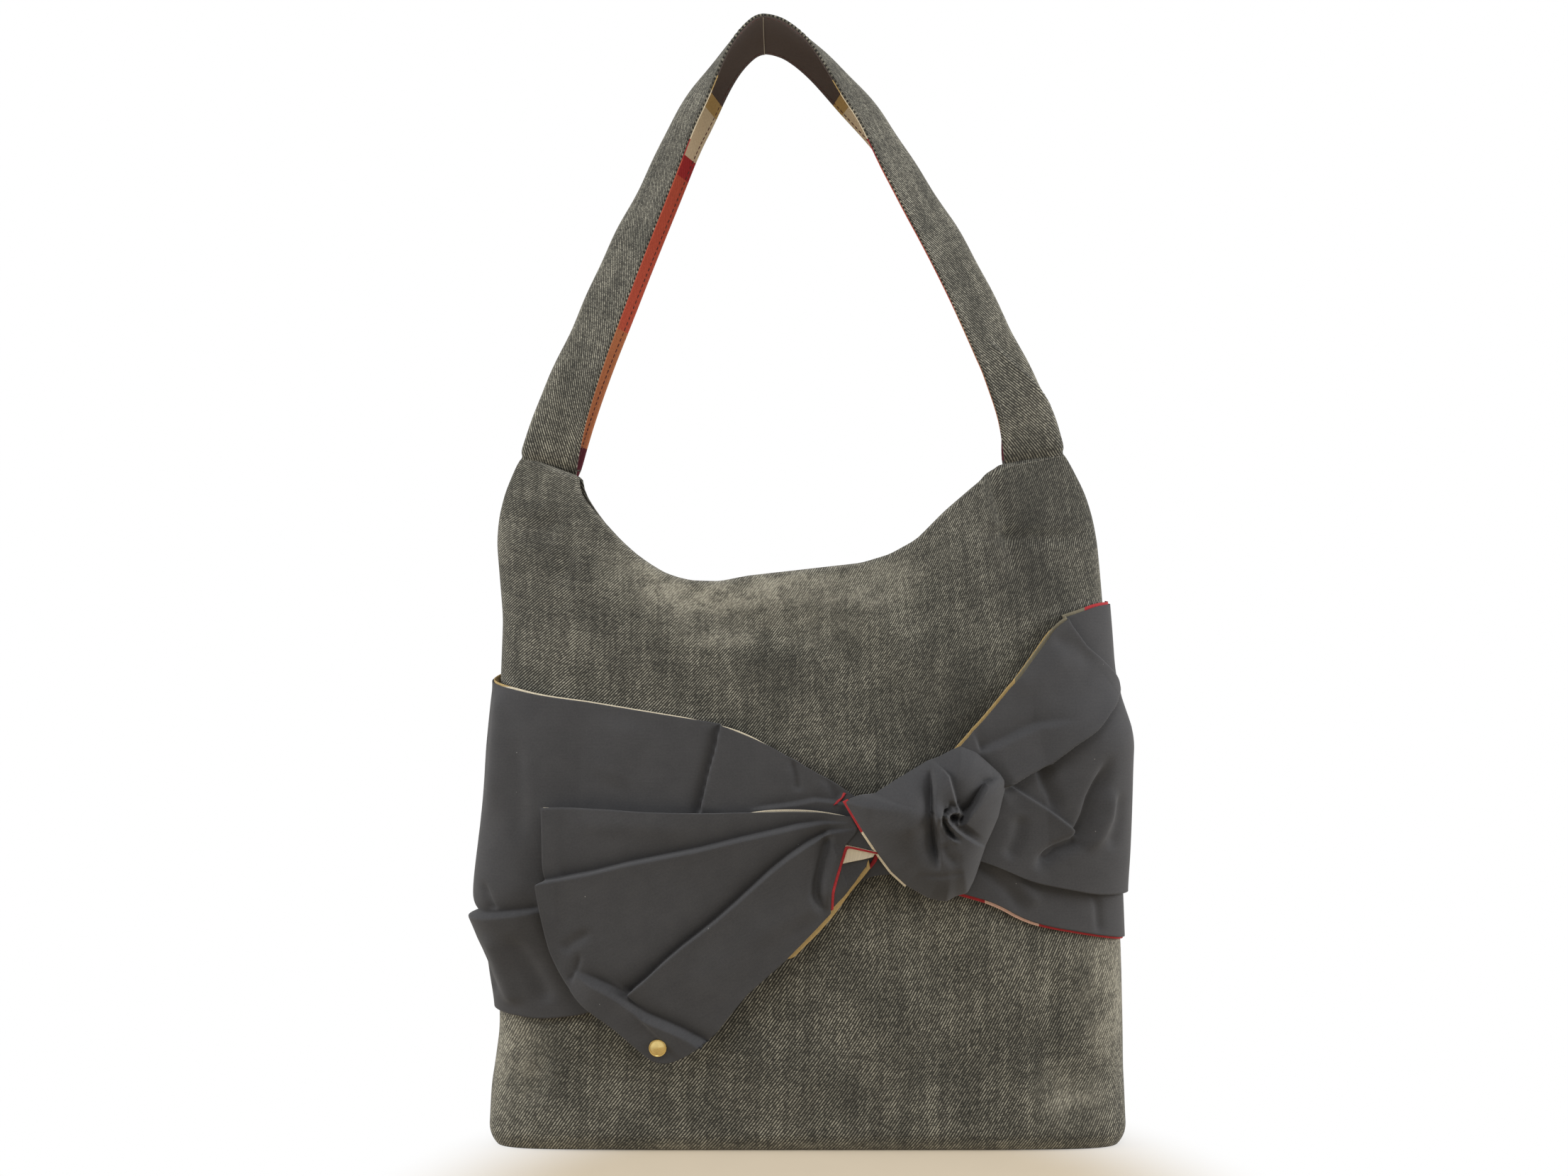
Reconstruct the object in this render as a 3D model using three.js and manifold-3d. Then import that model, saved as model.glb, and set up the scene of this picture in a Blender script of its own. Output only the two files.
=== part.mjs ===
// Denim shoulder bag: a soft boxy body with a scooped mouth, one folded strap sewn to two shoulders,
// and a wide cotton sash that comes out of the side seams and is tied in a knot on the front.
// Millimetres, +Z up, the front faces -Y. The origin is the middle of the base, on the standing surface.
import * as THREE from "three";
import { mergeVertices } from "three/addons/utils/BufferGeometryUtils.js";
import Module from "manifold-3d";

const wasm = await Module();
wasm.setup();
const { lerp, clamp, smoothstep, degToRad } = THREE.MathUtils;

// Cloth and board thicknesses, and the clearances between sewn layers
const DENIM = 1.2;
const LINING_CLOTH = 0.6;
const SASH_CLOTH = 0.8;
const SASH_LINING = 0.5;
const BOARD = 2;
const CLEARANCE = 0.3;
const LINING_CLEARANCE = 0.5;
const SEAM_CLEARANCE = 0.6;

// Body
const BODY_WIDTH = 366;
const BODY_DEPTH = 96;
const BODY_TAPER = 6;
const BASE_ROLL = 7;
const BASE_ROLL_HEIGHT = 16;
const BASE_SQUARENESS = 5;
const TOP_SQUARENESS = 2.4;
const CLOSING_START = 110;
const CLOSING_POWER = 3;

// Shoulders and strap seams
const LEFT_SEAM_HEIGHT = 397;
const RIGHT_SEAM_HEIGHT = 399.6;
const SHOULDER_START = 330;
const SHOULDER_NARROWING = 16;
const SHOULDER_DEPTH = 10;
const TOP_LEAN = 7.6;
const STRAP_HALF_WIDTH = 36;
const LEFT_STRAP_LEAN = 20;
const RIGHT_STRAP_LEAN = 12;

// Scooped mouth, with its low point left of the middle
const MOUTH_LOW_X = -63;
const MOUTH_LOW_HEIGHT = 323;
const MOUTH_LEFT_POWER = 2;
const MOUTH_RIGHT_POWER = 2.8;
const FACING_DEPTH = 45;

// Strap: folded along its middle at the seams and opening flat towards the top
const STRAP_TOP_X = -25;
const STRAP_TOP_HEIGHT = 656;
const LEFT_BASE_REACH = 150;
const RIGHT_BASE_REACH = 100;
const STRAP_TOP_REACH = 38;
const STRAP_OPENING = 82;
const STRAP_OPENING_POWER = 0.45;
const STRAP_FOLD_RADIUS = 3.4;
const STRAP_TOP_ROUNDING = 20;
const STRAP_BEND_RADIUS = 16;
const STRAP_BEND_LENGTH = 0.1;

// Magnetic snap inside the mouth
const SNAP_X = -20;
const SNAP_DROP = 26;
const SNAP_RADIUS = 9;
const SNAP_DISC = 2;
const SNAP_POST_RADIUS = 2.6;
const SNAP_POST_LENGTH = 2.4;
const SNAP_SOCKET_RIM = 1.8;
const SNAP_SOCKET_BEVEL = 1.5;
const SNAP_CHAMFER = 0.6;

// Sash: heights of its edges over the base, as [share of the band's length, height]
const LEFT_BAND_TOP = [[0, 266], [0.24, 257], [0.63, 242], [1, 192]];
const LEFT_BAND_BOTTOM = [[0, 74], [0.33, 76], [0.6, 105], [1, 152]];
const RIGHT_BAND_TOP = [[0, 309], [0.22, 306], [0.4, 300], [0.9, 232], [1, 220]];
const RIGHT_BAND_BOTTOM = [[0, 113], [0.3, 118], [0.6, 128], [0.85, 144], [1, 152]];
const LOOP_TOP = [[0, 305], [0.22, 303], [0.4, 297], [0.9, 229], [1, 217]];
const LOOP_BOTTOM = [[0, 142], [0.3, 146], [0.5, 148], [0.7, 153], [0.8, 162], [1, 172]];
const LEFT_BAND_END = 45;
const RIGHT_BAND_END = 72;
const SASH_LIFT = 0.8;
const LOOP_LIFT = 4.6;
const LEFT_GATHER = 3.6;
const RIGHT_GATHER = 1.2;
const LOOP_GATHER = 0.6;
const LEFT_BULGE = 13;
const LEFT_BULGE_HEIGHT = 136;
const RIGHT_BULGE = 3;
const LOOP_BULGE = 12;
const RIGHT_BULGE_HEIGHT = 232;
const BULGE_SPAN = 62;
const BULGE_LENGTH = 80;
const BULGE_LEAST = 0.4;
const GATHER_START = 0.7;
const GATHER_END = 0.95;

// Pressed folds of the sash, each from one [x, height] to another, with its height and reach
const LEFT_FOLDS = [
  { from: [-50, 250], to: [-62, 170], height: 3, reach: 30 },
  { from: [-150, 123], to: [-215, 123], height: 3, reach: 30 },
];
const LOOP_FOLDS = [
  { from: [100, 200], to: [200, 262], height: 4, reach: 22 },
  { from: [165, 172], to: [105, 158], height: 2, reach: 20 },
];
const KNOT_FOLDS = [
  { from: [67, 232], to: [72, 150], height: 4, reach: 13 },
  { from: [86, 180], to: [72, 234], height: 4, reach: 13 },
  { from: [106, 218], to: [78, 188], height: 4, reach: 13 },
  { from: [102, 172], to: [76, 193], height: 4, reach: 13 },
];
const TAIL_FOLDS = [
  { from: [-146, 156], to: [30, 190], height: 5, reach: 26 },
  { from: [30, 186], to: [-102, 92], height: 5, reach: 26 },
  { from: [-59, 66], to: [-125, 100], height: 4, reach: 26 },
];
const FOLD_DROP = 4;
const FOLD_RISE_END = 0.3;
const FOLD_FADE_START = 0.95;
const FOLD_FADE_END = 1.15;

// Knot: its outline on the front, from the upper left corner clockwise, as [x, height]
const KNOT_OUTLINE = [
  [19.4, 202.8], [42, 211.7], [65, 224.7], [84, 232], [107, 216.5],
  [102, 193], [94, 172], [85, 153], [71, 148], [52.2, 156.9], [35.8, 179.9],
];
const KNOT_CENTRE = [76, 194];
const KNOT_LIFT = 7.4;
const KNOT_EDGE = 4;
const KNOT_RISE = 20;
const KNOT_ROUNDNESS = 4;
const KNOT_HOLLOW = 5;
const KNOT_HOLLOW_SHARE = 0.2;

// Tail: a pleated fan from the knot's left edge, with a stud near its tip
const TAIL_ROOT_START = 3;
const TAIL_ROOT_END = 24;
const TAIL_CENTRE = [26, 177];
const TAIL_RADIUS = 173;
const TAIL_TOP_ANGLE = 174.5;
const TAIL_LOW_ANGLE = 228;
const TAIL_BOW = 14;
const TAIL_LIFT = 6.6;
const TAIL_END_LIFT = 5;
const TAIL_ROOT_CLEARANCE = 0.8;
const TAIL_FLAT_END = 0.05;
const TAIL_PLEATS_START = 0.3;
const TAIL_STAND_START = 0.5;
const STUD_PLACE = [0.93, 0.06];
const STUD_RADIUS = 5;
const STUD_DOME = 1.6;
const STUD_RIM = 1;
const STUD_RIM_WIDTH = 0.7;
const STUD_SHOULDER = { out: 0.6, up: 0.7 };
const STUD_POST_RADIUS = 1.3;
const STUD_BACK_RADIUS = 4.4;
const STUD_BACK = 0.9;
const STUD_BACK_CLEARANCE = 0.7;

// Mesh fineness
const BODY_COLUMNS = 22;
const WALL_ROWS = 7;
const FACING_ROWS = 3;
const STRAP_GRID = { columns: 8, rows: 12 };
const LEFT_BAND_GRID = { columns: 16, rows: 9 };
const RIGHT_BAND_GRID = { columns: 10, rows: 8 };
const LOOP_GRID = { columns: 14, rows: 10 };
const KNOT_GRID = { sectors: 44, rings: 8 };
const TAIL_GRID = { columns: 14, rows: 13 };
const LATHE_STEPS = 16;
const WALK_STEPS = 96;
const SECTION_STEPS = 12;
const RIM_STEPS = 40;
const RIM_RELAXING = 0.6;
const TANGENT_STEP = 0.02;

const FRONT = -1;
const BACK = 1;
const LINING_INSET = DENIM + LINING_CLEARANCE;
const LINING_DEPTH = LINING_INSET + LINING_CLOTH;
const FLOOR_HEIGHT = DENIM + CLEARANCE + BOARD + CLEARANCE;

const paint = (colour, roughness, metalness = 0) =>
  new THREE.MeshStandardMaterial({ color: colour, roughness, metalness, side: THREE.DoubleSide });
const denim = paint(0x4b4944, 0.9);
const cotton = paint(0x403f42, 0.85);
const tanLining = paint(0xb4a57d, 0.85);
const redLining = paint(0xa82f34, 0.85);
const greyBoard = paint(0x77726a, 0.8);
const brass = paint(0xd7be7d, 0.3, 1);
const steel = paint(0xb9b8b4, 0.35, 1);

const bag = new THREE.Group();

function addPiece(name, geometry, material) {
  const mesh = new THREE.Mesh(geometry, material);
  mesh.name = name;
  bag.add(mesh);
  return mesh;
}

// Merges shared vertices and turns the faces outwards
function closeBody(geometry) {
  geometry.deleteAttribute("normal");
  geometry.deleteAttribute("uv");
  const body = mergeVertices(geometry, 1e-4);
  const at = body.attributes.position;
  const corners = body.index.array;
  const [a, b, c] = [new THREE.Vector3(), new THREE.Vector3(), new THREE.Vector3()];
  let volume = 0;
  for (let k = 0; k < corners.length; k += 3) {
    a.fromBufferAttribute(at, corners[k]);
    b.fromBufferAttribute(at, corners[k + 1]);
    c.fromBufferAttribute(at, corners[k + 2]);
    volume += a.dot(b.cross(c));
  }
  if (volume < 0) {
    body.setIndex(Array.from(corners).reverse());
  }
  body.computeVertexNormals();
  return body;
}

// A piece of cloth: an outer and an inner surface over one grid, joined round the edge
function clothSolid(outer, inner, { columns, rows }) {
  const points = [];
  const faces = [];
  const stride = columns + 1;
  const layer = stride * (rows + 1);
  for (const surface of [outer, inner]) {
    for (let j = 0; j <= rows; j++) {
      for (let i = 0; i <= columns; i++) {
        points.push(...surface(i / columns, j / rows).toArray());
      }
    }
  }
  const quad = (p, q, r, s) => faces.push(p, q, r, p, r, s);
  for (let j = 0; j < rows; j++) {
    for (let i = 0; i < columns; i++) {
      const p = j * stride + i;
      quad(p, p + 1, p + stride + 1, p + stride);
      quad(layer + p, layer + p + stride, layer + p + stride + 1, layer + p + 1);
    }
  }
  const joinEdge = (p, q) => quad(q, p, layer + p, layer + q);
  for (let i = 0; i < columns; i++) {
    const top = rows * stride + i;
    joinEdge(i, i + 1);
    joinEdge(top + 1, top);
  }
  for (let j = 0; j < rows; j++) {
    const left = j * stride;
    joinEdge(left + stride, left);
    joinEdge(left + columns, left + columns + stride);
  }
  const geometry = new THREE.BufferGeometry();
  geometry.setAttribute("position", new THREE.Float32BufferAttribute(points, 3));
  geometry.setIndex(faces);
  return closeBody(geometry);
}

function toManifold(geometry) {
  return new wasm.Manifold(new wasm.Mesh({
    numProp: 3,
    vertProperties: new Float32Array(geometry.attributes.position.array),
    triVerts: new Uint32Array(geometry.index.array),
  }));
}

function cutAway(geometry, tool) {
  const cut = toManifold(geometry).subtract(toManifold(tool)).getMesh();
  const result = new THREE.BufferGeometry();
  result.setAttribute("position", new THREE.BufferAttribute(cut.vertProperties, 3));
  result.setIndex(new THREE.BufferAttribute(cut.triVerts, 1));
  result.computeVertexNormals();
  return result;
}

// A turned piece about the local Y axis, from [radius, height] pairs
function turned(profile) {
  const line = profile.map(([radius, height]) => new THREE.Vector2(radius, height));
  return closeBody(new THREE.LatheGeometry(line, LATHE_STEPS));
}

// Body section: half width, half depth, sideways lean and squareness at a height
const seamHeight = Math.max(LEFT_SEAM_HEIGHT, RIGHT_SEAM_HEIGHT);

function baseRoll(z) {
  return BASE_ROLL * clamp(1 - z / BASE_ROLL_HEIGHT, 0, 1) ** 2;
}

function halfWidth(z) {
  const taper = (BODY_TAPER * z) / SHOULDER_START;
  const shoulder = Math.max(0, (z - SHOULDER_START) / (seamHeight - SHOULDER_START)) ** 2;
  return BODY_WIDTH / 2 - taper - baseRoll(z) - SHOULDER_NARROWING * shoulder;
}

function closing(z) {
  return clamp((z - CLOSING_START) / (seamHeight - CLOSING_START), 0, 1);
}

function halfDepth(z) {
  const narrowing = (BODY_DEPTH - SHOULDER_DEPTH) / 2;
  return BODY_DEPTH / 2 - baseRoll(z) - narrowing * closing(z) ** CLOSING_POWER;
}

function lean(z) {
  return -TOP_LEAN * (z / seamHeight) ** 3;
}

// A point of the body at a share of its width, from -1 at the left seam to 1 at the right seam
function bodyPoint(share, z, inset, face) {
  const square = lerp(BASE_SQUARENESS, TOP_SQUARENESS, closing(z));
  const out = (1 - Math.abs(share) ** square) ** (1 / square);
  const x = lean(z) + (halfWidth(z) - inset) * share;
  const y = face * (CLEARANCE / 2 + (halfDepth(z) - inset) * out);
  return new THREE.Vector3(x, y, z);
}

const columnShare = (u) => Math.sin((Math.PI / 2) * (2 * u - 1));

// Strap seams: each runs inwards from its outer end, square to the strap
function strapSeam(side, height, leanAngle) {
  const tilt = degToRad(leanAngle);
  const outer = new THREE.Vector2(lean(height) + side * halfWidth(height), height);
  const up = new THREE.Vector2(-side * Math.sin(tilt), Math.cos(tilt));
  const inwards = new THREE.Vector2(-side * up.y, side * up.x);
  const inner = outer.clone().addScaledVector(inwards, STRAP_HALF_WIDTH);
  return { side, outer, inner, up };
}
const leftSeam = strapSeam(-1, LEFT_SEAM_HEIGHT, LEFT_STRAP_LEAN);
const rightSeam = strapSeam(1, RIGHT_SEAM_HEIGHT, RIGHT_STRAP_LEAN);

// Height of the body's top edge: shoulder seam, scooped mouth, shoulder seam
function rimHeight(x) {
  for (const { side, outer, inner } of [leftSeam, rightSeam]) {
    if (side * x >= side * inner.x) {
      return lerp(inner.y, outer.y, (x - inner.x) / (outer.x - inner.x));
    }
  }
  const left = x < MOUTH_LOW_X;
  const end = left ? leftSeam.inner : rightSeam.inner;
  const climb = (x - MOUTH_LOW_X) / (end.x - MOUTH_LOW_X);
  return lerp(MOUTH_LOW_HEIGHT, end.y, climb ** (left ? MOUTH_LEFT_POWER : MOUTH_RIGHT_POWER));
}

function rimAt(share) {
  let z = MOUTH_LOW_HEIGHT;
  for (let k = 0; k < RIM_STEPS; k++) {
    z = lerp(z, rimHeight(lean(z) + halfWidth(z) * share), RIM_RELAXING);
  }
  return z;
}

// Heights at which the layers of a column are bent: the rolled base, the wall and the faced mouth
function columnHeights(rim) {
  const rollTop = FLOOR_HEIGHT + BASE_ROLL_HEIGHT;
  const facingLow = rim - FACING_DEPTH;
  const heights = [0, FLOOR_HEIGHT, (FLOOR_HEIGHT + rollTop) / 2];
  for (let j = 0; j <= WALL_ROWS; j++) {
    heights.push(lerp(rollTop, facingLow, j / WALL_ROWS));
  }
  for (let j = 1; j <= FACING_ROWS; j++) {
    heights.push(lerp(facingLow, rim, j / FACING_ROWS));
  }
  return heights;
}

// A layer of the body at an inset, over some of the bent rows, with its top edge trimmed a little
function bodyLayer(face, outset, thickness, first, last, trim) {
  const rows = last - first;
  const surface = (inset) => (u, v) => {
    const share = columnShare(u);
    const height = columnHeights(rimAt(share))[first + Math.round(v * rows)];
    return bodyPoint(share, v === 1 ? height - trim : height, inset, face);
  };
  return clothSolid(surface(outset), surface(outset + thickness), { columns: BODY_COLUMNS, rows });
}

const facingRow = 3 + WALL_ROWS;
const rimRow = facingRow + FACING_ROWS;
for (const [name, face] of [["front", FRONT], ["back", BACK]]) {
  const skin = (first, last) => bodyLayer(face, LINING_INSET, LINING_CLOTH, first, last, CLEARANCE);
  addPiece(`${name}_panel`, bodyLayer(face, 0, DENIM, 0, rimRow, 0), denim);
  addPiece(`${name}_lining`, skin(1, facingRow), tanLining);
  addPiece(`${name}_facing`, skin(facingRow, rimRow), denim);
}

// A flat plate that fills the body's section at its own height
function basePlate(z, thickness, inset) {
  const outline = [];
  for (const face of [FRONT, BACK]) {
    for (let i = 0; i <= BODY_COLUMNS; i++) {
      const share = face * -columnShare(i / BODY_COLUMNS);
      const { x, y } = bodyPoint(share, z, inset, face);
      outline.push(new THREE.Vector2(x, y));
    }
  }
  const shape = new THREE.Shape(outline);
  const plate = new THREE.ExtrudeGeometry(shape, { depth: thickness, bevelEnabled: false });
  return closeBody(plate.translate(0, 0, z));
}

addPiece("base_panel", basePlate(0, DENIM, DENIM + CLEARANCE), denim);
addPiece("base_board", basePlate(DENIM + CLEARANCE, BOARD, DENIM + LINING_CLEARANCE), greyBoard);
addPiece("base_lining", basePlate(FLOOR_HEIGHT, LINING_CLOTH, LINING_DEPTH + CLEARANCE), tanLining);

// Magnetic snap: a socket on the front facing and a post on the back one, both facing inwards
const socketHole = SNAP_POST_RADIUS + CLEARANCE;
const socketTop = SNAP_DISC + SNAP_SOCKET_RIM;
const postTop = SNAP_DISC + SNAP_POST_LENGTH;
const snapSocket = [
  [socketHole, socketTop], [SNAP_RADIUS - SNAP_SOCKET_BEVEL, socketTop], [SNAP_RADIUS, SNAP_DISC],
  [SNAP_RADIUS, 0], [0, 0], [0, SNAP_DISC], [socketHole, SNAP_DISC], [socketHole, socketTop],
];
const snapPost = [
  [0, 0], [SNAP_RADIUS, 0], [SNAP_RADIUS, SNAP_DISC - SNAP_CHAMFER], [SNAP_RADIUS - SNAP_CHAMFER, SNAP_DISC],
  [SNAP_POST_RADIUS, SNAP_DISC], [SNAP_POST_RADIUS, postTop], [0, postTop],
];

function addSnap(name, profile, face) {
  const z = rimHeight(SNAP_X) - SNAP_DROP;
  const share = (SNAP_X - lean(z)) / halfWidth(z);
  const seat = bodyPoint(share, z, LINING_DEPTH, face);
  const above = bodyPoint(share, z + SNAP_RADIUS, LINING_DEPTH, face);
  const below = bodyPoint(share, z - SNAP_RADIUS, LINING_DEPTH, face);
  const slope = Math.atan2(above.y - below.y, above.z - below.z);
  const snap = addPiece(name, turned(profile), steel);
  snap.rotation.x = (face === FRONT ? 0 : Math.PI) - slope;
  const inwards = new THREE.Vector3(0, 1, 0).applyEuler(snap.rotation);
  snap.position.copy(seat).addScaledVector(inwards, LINING_CLEARANCE);
}
addSnap("snap_socket", snapSocket, FRONT);
addSnap("snap_post", snapPost, BACK);

// Strap legs: a spine along the fold, and a section that opens from a folded U to a flat band
const strapTop = new THREE.Vector2(STRAP_TOP_X, STRAP_TOP_HEIGHT);

function strapLeg({ side, outer, up }, baseReach) {
  const foot = outer.clone().addScaledVector(up, SEAM_CLEARANCE);
  const baseHandle = foot.clone().addScaledVector(up, baseReach);
  const topHandle = strapTop.clone().add(new THREE.Vector2(side * STRAP_TOP_REACH, 0));
  return { side, spine: new THREE.CubicBezierCurve(foot, baseHandle, topHandle, strapTop) };
}

function strapPoint({ side, spine }, t, across, inset) {
  const at = spine.getPoint(t);
  const along = spine.getTangent(t);
  const inwards = new THREE.Vector2(-side * along.y, side * along.x);
  const opening = degToRad(STRAP_OPENING) * t ** STRAP_OPENING_POWER;
  const rounding = lerp(STRAP_FOLD_RADIUS, STRAP_TOP_ROUNDING, t);
  const step = (Math.abs(across) * STRAP_HALF_WIDTH) / SECTION_STEPS;
  const turnAt = (distance) => lerp(Math.PI / 2, opening, 1 - Math.exp(-distance / rounding));
  let reach = 0;
  let depth = 0;
  for (let k = 0; k < SECTION_STEPS; k++) {
    const turn = turnAt((k + 0.5) * step);
    reach += Math.cos(turn) * step;
    depth += Math.sin(turn) * step;
  }
  const turn = turnAt(SECTION_STEPS * step);
  reach += inset * Math.sin(turn);
  depth -= inset * Math.cos(turn);
  const bent = Math.min(depth, STRAP_BEND_RADIUS);
  const rounded = STRAP_BEND_RADIUS - Math.sqrt(STRAP_BEND_RADIUS ** 2 - bent ** 2);
  const raise = rounded * clamp(1 - t / STRAP_BEND_LENGTH, 0, 1);
  const flat = at.clone().addScaledVector(inwards, reach).addScaledVector(along, raise);
  return new THREE.Vector3(flat.x, Math.sign(across) * depth, flat.y);
}

const strapFeet = [["left", leftSeam, LEFT_BASE_REACH], ["right", rightSeam, RIGHT_BASE_REACH]];
for (const [name, seam, reach] of strapFeet) {
  const leg = strapLeg(seam, reach);
  const end = 1 - CLEARANCE / 2 / leg.spine.getLength();
  const surface = (inset) => (u, v) => strapPoint(leg, v * end, 2 * u - 1, inset);
  const strip = (inset, thickness) => clothSolid(surface(inset), surface(inset + thickness), STRAP_GRID);
  addPiece(`strap_${name}`, strip(0, DENIM), denim);
  addPiece(`strap_${name}_lining`, strip(DENIM + CLEARANCE, LINING_CLOTH), redLining);
}

// A point in front of the body, by the distance walked round it from the middle of the front
function frontPoint(path, z, lift) {
  const side = path < 0 ? -1 : 1;
  let walked = 0;
  let here = bodyPoint(0, z, 0, FRONT);
  for (let k = 1; ; k++) {
    const next = bodyPoint(side * Math.sin(((Math.PI / 2) * k) / WALK_STEPS), z, 0, FRONT);
    const step = here.distanceTo(next);
    if (walked + step >= Math.abs(path) || k === WALK_STEPS) {
      const along = next.clone().sub(here).normalize();
      const outwards = new THREE.Vector3(side * along.y, -side * along.x, 0);
      return here.addScaledVector(along, Math.abs(path) - walked).addScaledVector(outwards, lift);
    }
    walked += step;
    here = next;
  }
}

function halfGirth(z) {
  let walked = 0;
  for (let k = 0; k < WALK_STEPS; k++) {
    const from = bodyPoint(Math.sin(((Math.PI / 2) * k) / WALK_STEPS), z, 0, FRONT);
    const to = bodyPoint(Math.sin(((Math.PI / 2) * (k + 1)) / WALK_STEPS), z, 0, FRONT);
    walked += from.distanceTo(to);
  }
  return walked;
}

// A pressed fold: the cloth climbs to a crest along a line and drops sharply on the line's right
function fold({ from: [fromX, fromZ], to: [toX, toZ], height, reach }) {
  const length = Math.hypot(toX - fromX, toZ - fromZ);
  const [dirX, dirZ] = [(toX - fromX) / length, (toZ - fromZ) / length];
  return (x, z) => {
    const along = ((x - fromX) * dirX + (z - fromZ) * dirZ) / length;
    const aside = (z - fromZ) * dirX - (x - fromX) * dirZ;
    const fade = 1 - smoothstep(along, FOLD_FADE_START, FOLD_FADE_END);
    const ends = smoothstep(along, 0, FOLD_RISE_END) * fade;
    return height * ends * Math.exp(aside > 0 ? -aside / reach : aside / FOLD_DROP);
  };
}

const addFolds = (folds, x, z) => folds.reduce((sum, each) => sum + fold(each)(x, z), 0);

// Height along an edge of the sash, by straight stretches
function edgeHeight(stretches, share) {
  const k = Math.max(1, stretches.findIndex(([at]) => at >= share));
  const [[from, low], [to, high]] = [stretches[k - 1], stretches[k]];
  return lerp(low, high, (share - from) / (to - from));
}

// One side's band of the sash, from the side seam to its end under the knot
function sashBand({ side, end, top, bottom, lift, gather, bulge, bulgeHeight, folds, grid }) {
  const surface = (raise) => (u, v) => {
    const z = lerp(edgeHeight(bottom, u), edgeHeight(top, u), v);
    const seam = side * (halfGirth(z) - CLEARANCE);
    const path = lerp(seam, end, u);
    const swell = bulge * lerp(BULGE_LEAST, 1, Math.exp(-(((z - bulgeHeight) / BULGE_SPAN) ** 2)));
    const round = Math.sin(Math.PI * clamp((path - seam) / (-side * BULGE_LENGTH), 0, 1));
    const bundle = gather * smoothstep(u, GATHER_START, GATHER_END);
    return frontPoint(path, z, lift + bundle + swell * round + addFolds(folds, path, z) + raise);
  };
  const lining = clothSolid(surface(SASH_LINING), surface(0), grid);
  const under = SASH_LINING + CLEARANCE;
  const faceCloth = clothSolid(surface(under + SASH_CLOTH), surface(under), grid);
  return { lining, faceCloth };
}

const leftBand = sashBand({
  side: -1, end: LEFT_BAND_END, top: LEFT_BAND_TOP, bottom: LEFT_BAND_BOTTOM,
  lift: SASH_LIFT, gather: LEFT_GATHER, bulge: LEFT_BULGE, bulgeHeight: LEFT_BULGE_HEIGHT,
  folds: LEFT_FOLDS, grid: LEFT_BAND_GRID,
});
const rightBand = sashBand({
  side: 1, end: RIGHT_BAND_END, top: RIGHT_BAND_TOP, bottom: RIGHT_BAND_BOTTOM,
  lift: SASH_LIFT, gather: RIGHT_GATHER, bulge: RIGHT_BULGE, bulgeHeight: RIGHT_BULGE_HEIGHT,
  folds: [], grid: RIGHT_BAND_GRID,
});
const rightLoop = sashBand({
  side: 1, end: RIGHT_BAND_END, top: LOOP_TOP, bottom: LOOP_BOTTOM,
  lift: LOOP_LIFT, gather: LOOP_GATHER, bulge: LOOP_BULGE, bulgeHeight: RIGHT_BULGE_HEIGHT,
  folds: LOOP_FOLDS, grid: LOOP_GRID,
});
addPiece("sash_left_band", leftBand.faceCloth, cotton);
addPiece("sash_left_lining", leftBand.lining, tanLining);
addPiece("sash_right_band", rightBand.faceCloth, cotton);
addPiece("sash_right_lining", rightBand.lining, redLining);
addPiece("sash_right_loop", rightLoop.faceCloth, cotton);
addPiece("sash_loop_lining", rightLoop.lining, tanLining);

// Knot: a dome over its outline, with the folds of the wrapped cloth turning round a hollow
const knotRim = new THREE.CatmullRomCurve3(
  KNOT_OUTLINE.map(([x, z]) => new THREE.Vector3(x, 0, z)), true, "centripetal");

function knotSolid({ sectors, rings }) {
  const [centreX, centreZ] = KNOT_CENTRE;
  const place = (sector, share) => {
    const rim = knotRim.getPoint(sector / sectors);
    return [lerp(centreX, rim.x, share), lerp(centreZ, rim.z, share)];
  };
  const crown = (sector, share) => {
    const [x, z] = place(sector, share);
    const hollow = KNOT_HOLLOW * Math.exp(-((share / KNOT_HOLLOW_SHARE) ** 2));
    const rise = (KNOT_RISE + addFolds(KNOT_FOLDS, x, z)) * (1 - share ** KNOT_ROUNDNESS) - hollow;
    return frontPoint(x, z, KNOT_LIFT + KNOT_EDGE + rise);
  };
  const points = crown(0, 0).toArray();
  const faces = [];
  for (let ring = 1; ring <= rings; ring++) {
    for (let sector = 0; sector < sectors; sector++) {
      points.push(...crown(sector, ring / rings).toArray());
    }
  }
  for (let sector = 0; sector < sectors; sector++) {
    points.push(...frontPoint(...place(sector, 1), KNOT_LIFT).toArray());
  }
  points.push(...frontPoint(centreX, centreZ, KNOT_LIFT).toArray());
  const last = points.length / 3 - 1;
  const index = (ring, sector) => 1 + (ring - 1) * sectors + (sector % sectors);
  for (let sector = 0; sector < sectors; sector++) {
    faces.push(0, index(1, sector), index(1, sector + 1));
    for (let ring = 1; ring <= rings; ring++) {
      const [p, q] = [index(ring, sector), index(ring, sector + 1)];
      faces.push(p, p + sectors, q + sectors, p, q + sectors, q);
    }
    faces.push(last, index(rings + 1, sector + 1), index(rings + 1, sector));
  }
  const geometry = new THREE.BufferGeometry();
  geometry.setAttribute("position", new THREE.Float32BufferAttribute(points, 3));
  geometry.setIndex(faces);
  return closeBody(geometry);
}
addPiece("sash_knot", knotSolid(KNOT_GRID), cotton);

// Tail: rules from its root beside the knot's left edge to an arc, with pleats along some of them
const knotTop = new THREE.Vector2(...KNOT_OUTLINE[0]);
const knotLow = new THREE.Vector2(...KNOT_OUTLINE.at(-2));
const knotEdge = knotLow.clone().sub(knotTop);
const tailWay = new THREE.Vector2(knotEdge.y, -knotEdge.x).normalize();
const knotEdgeShare = 2 / KNOT_OUTLINE.length / knotEdge.length();

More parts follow.
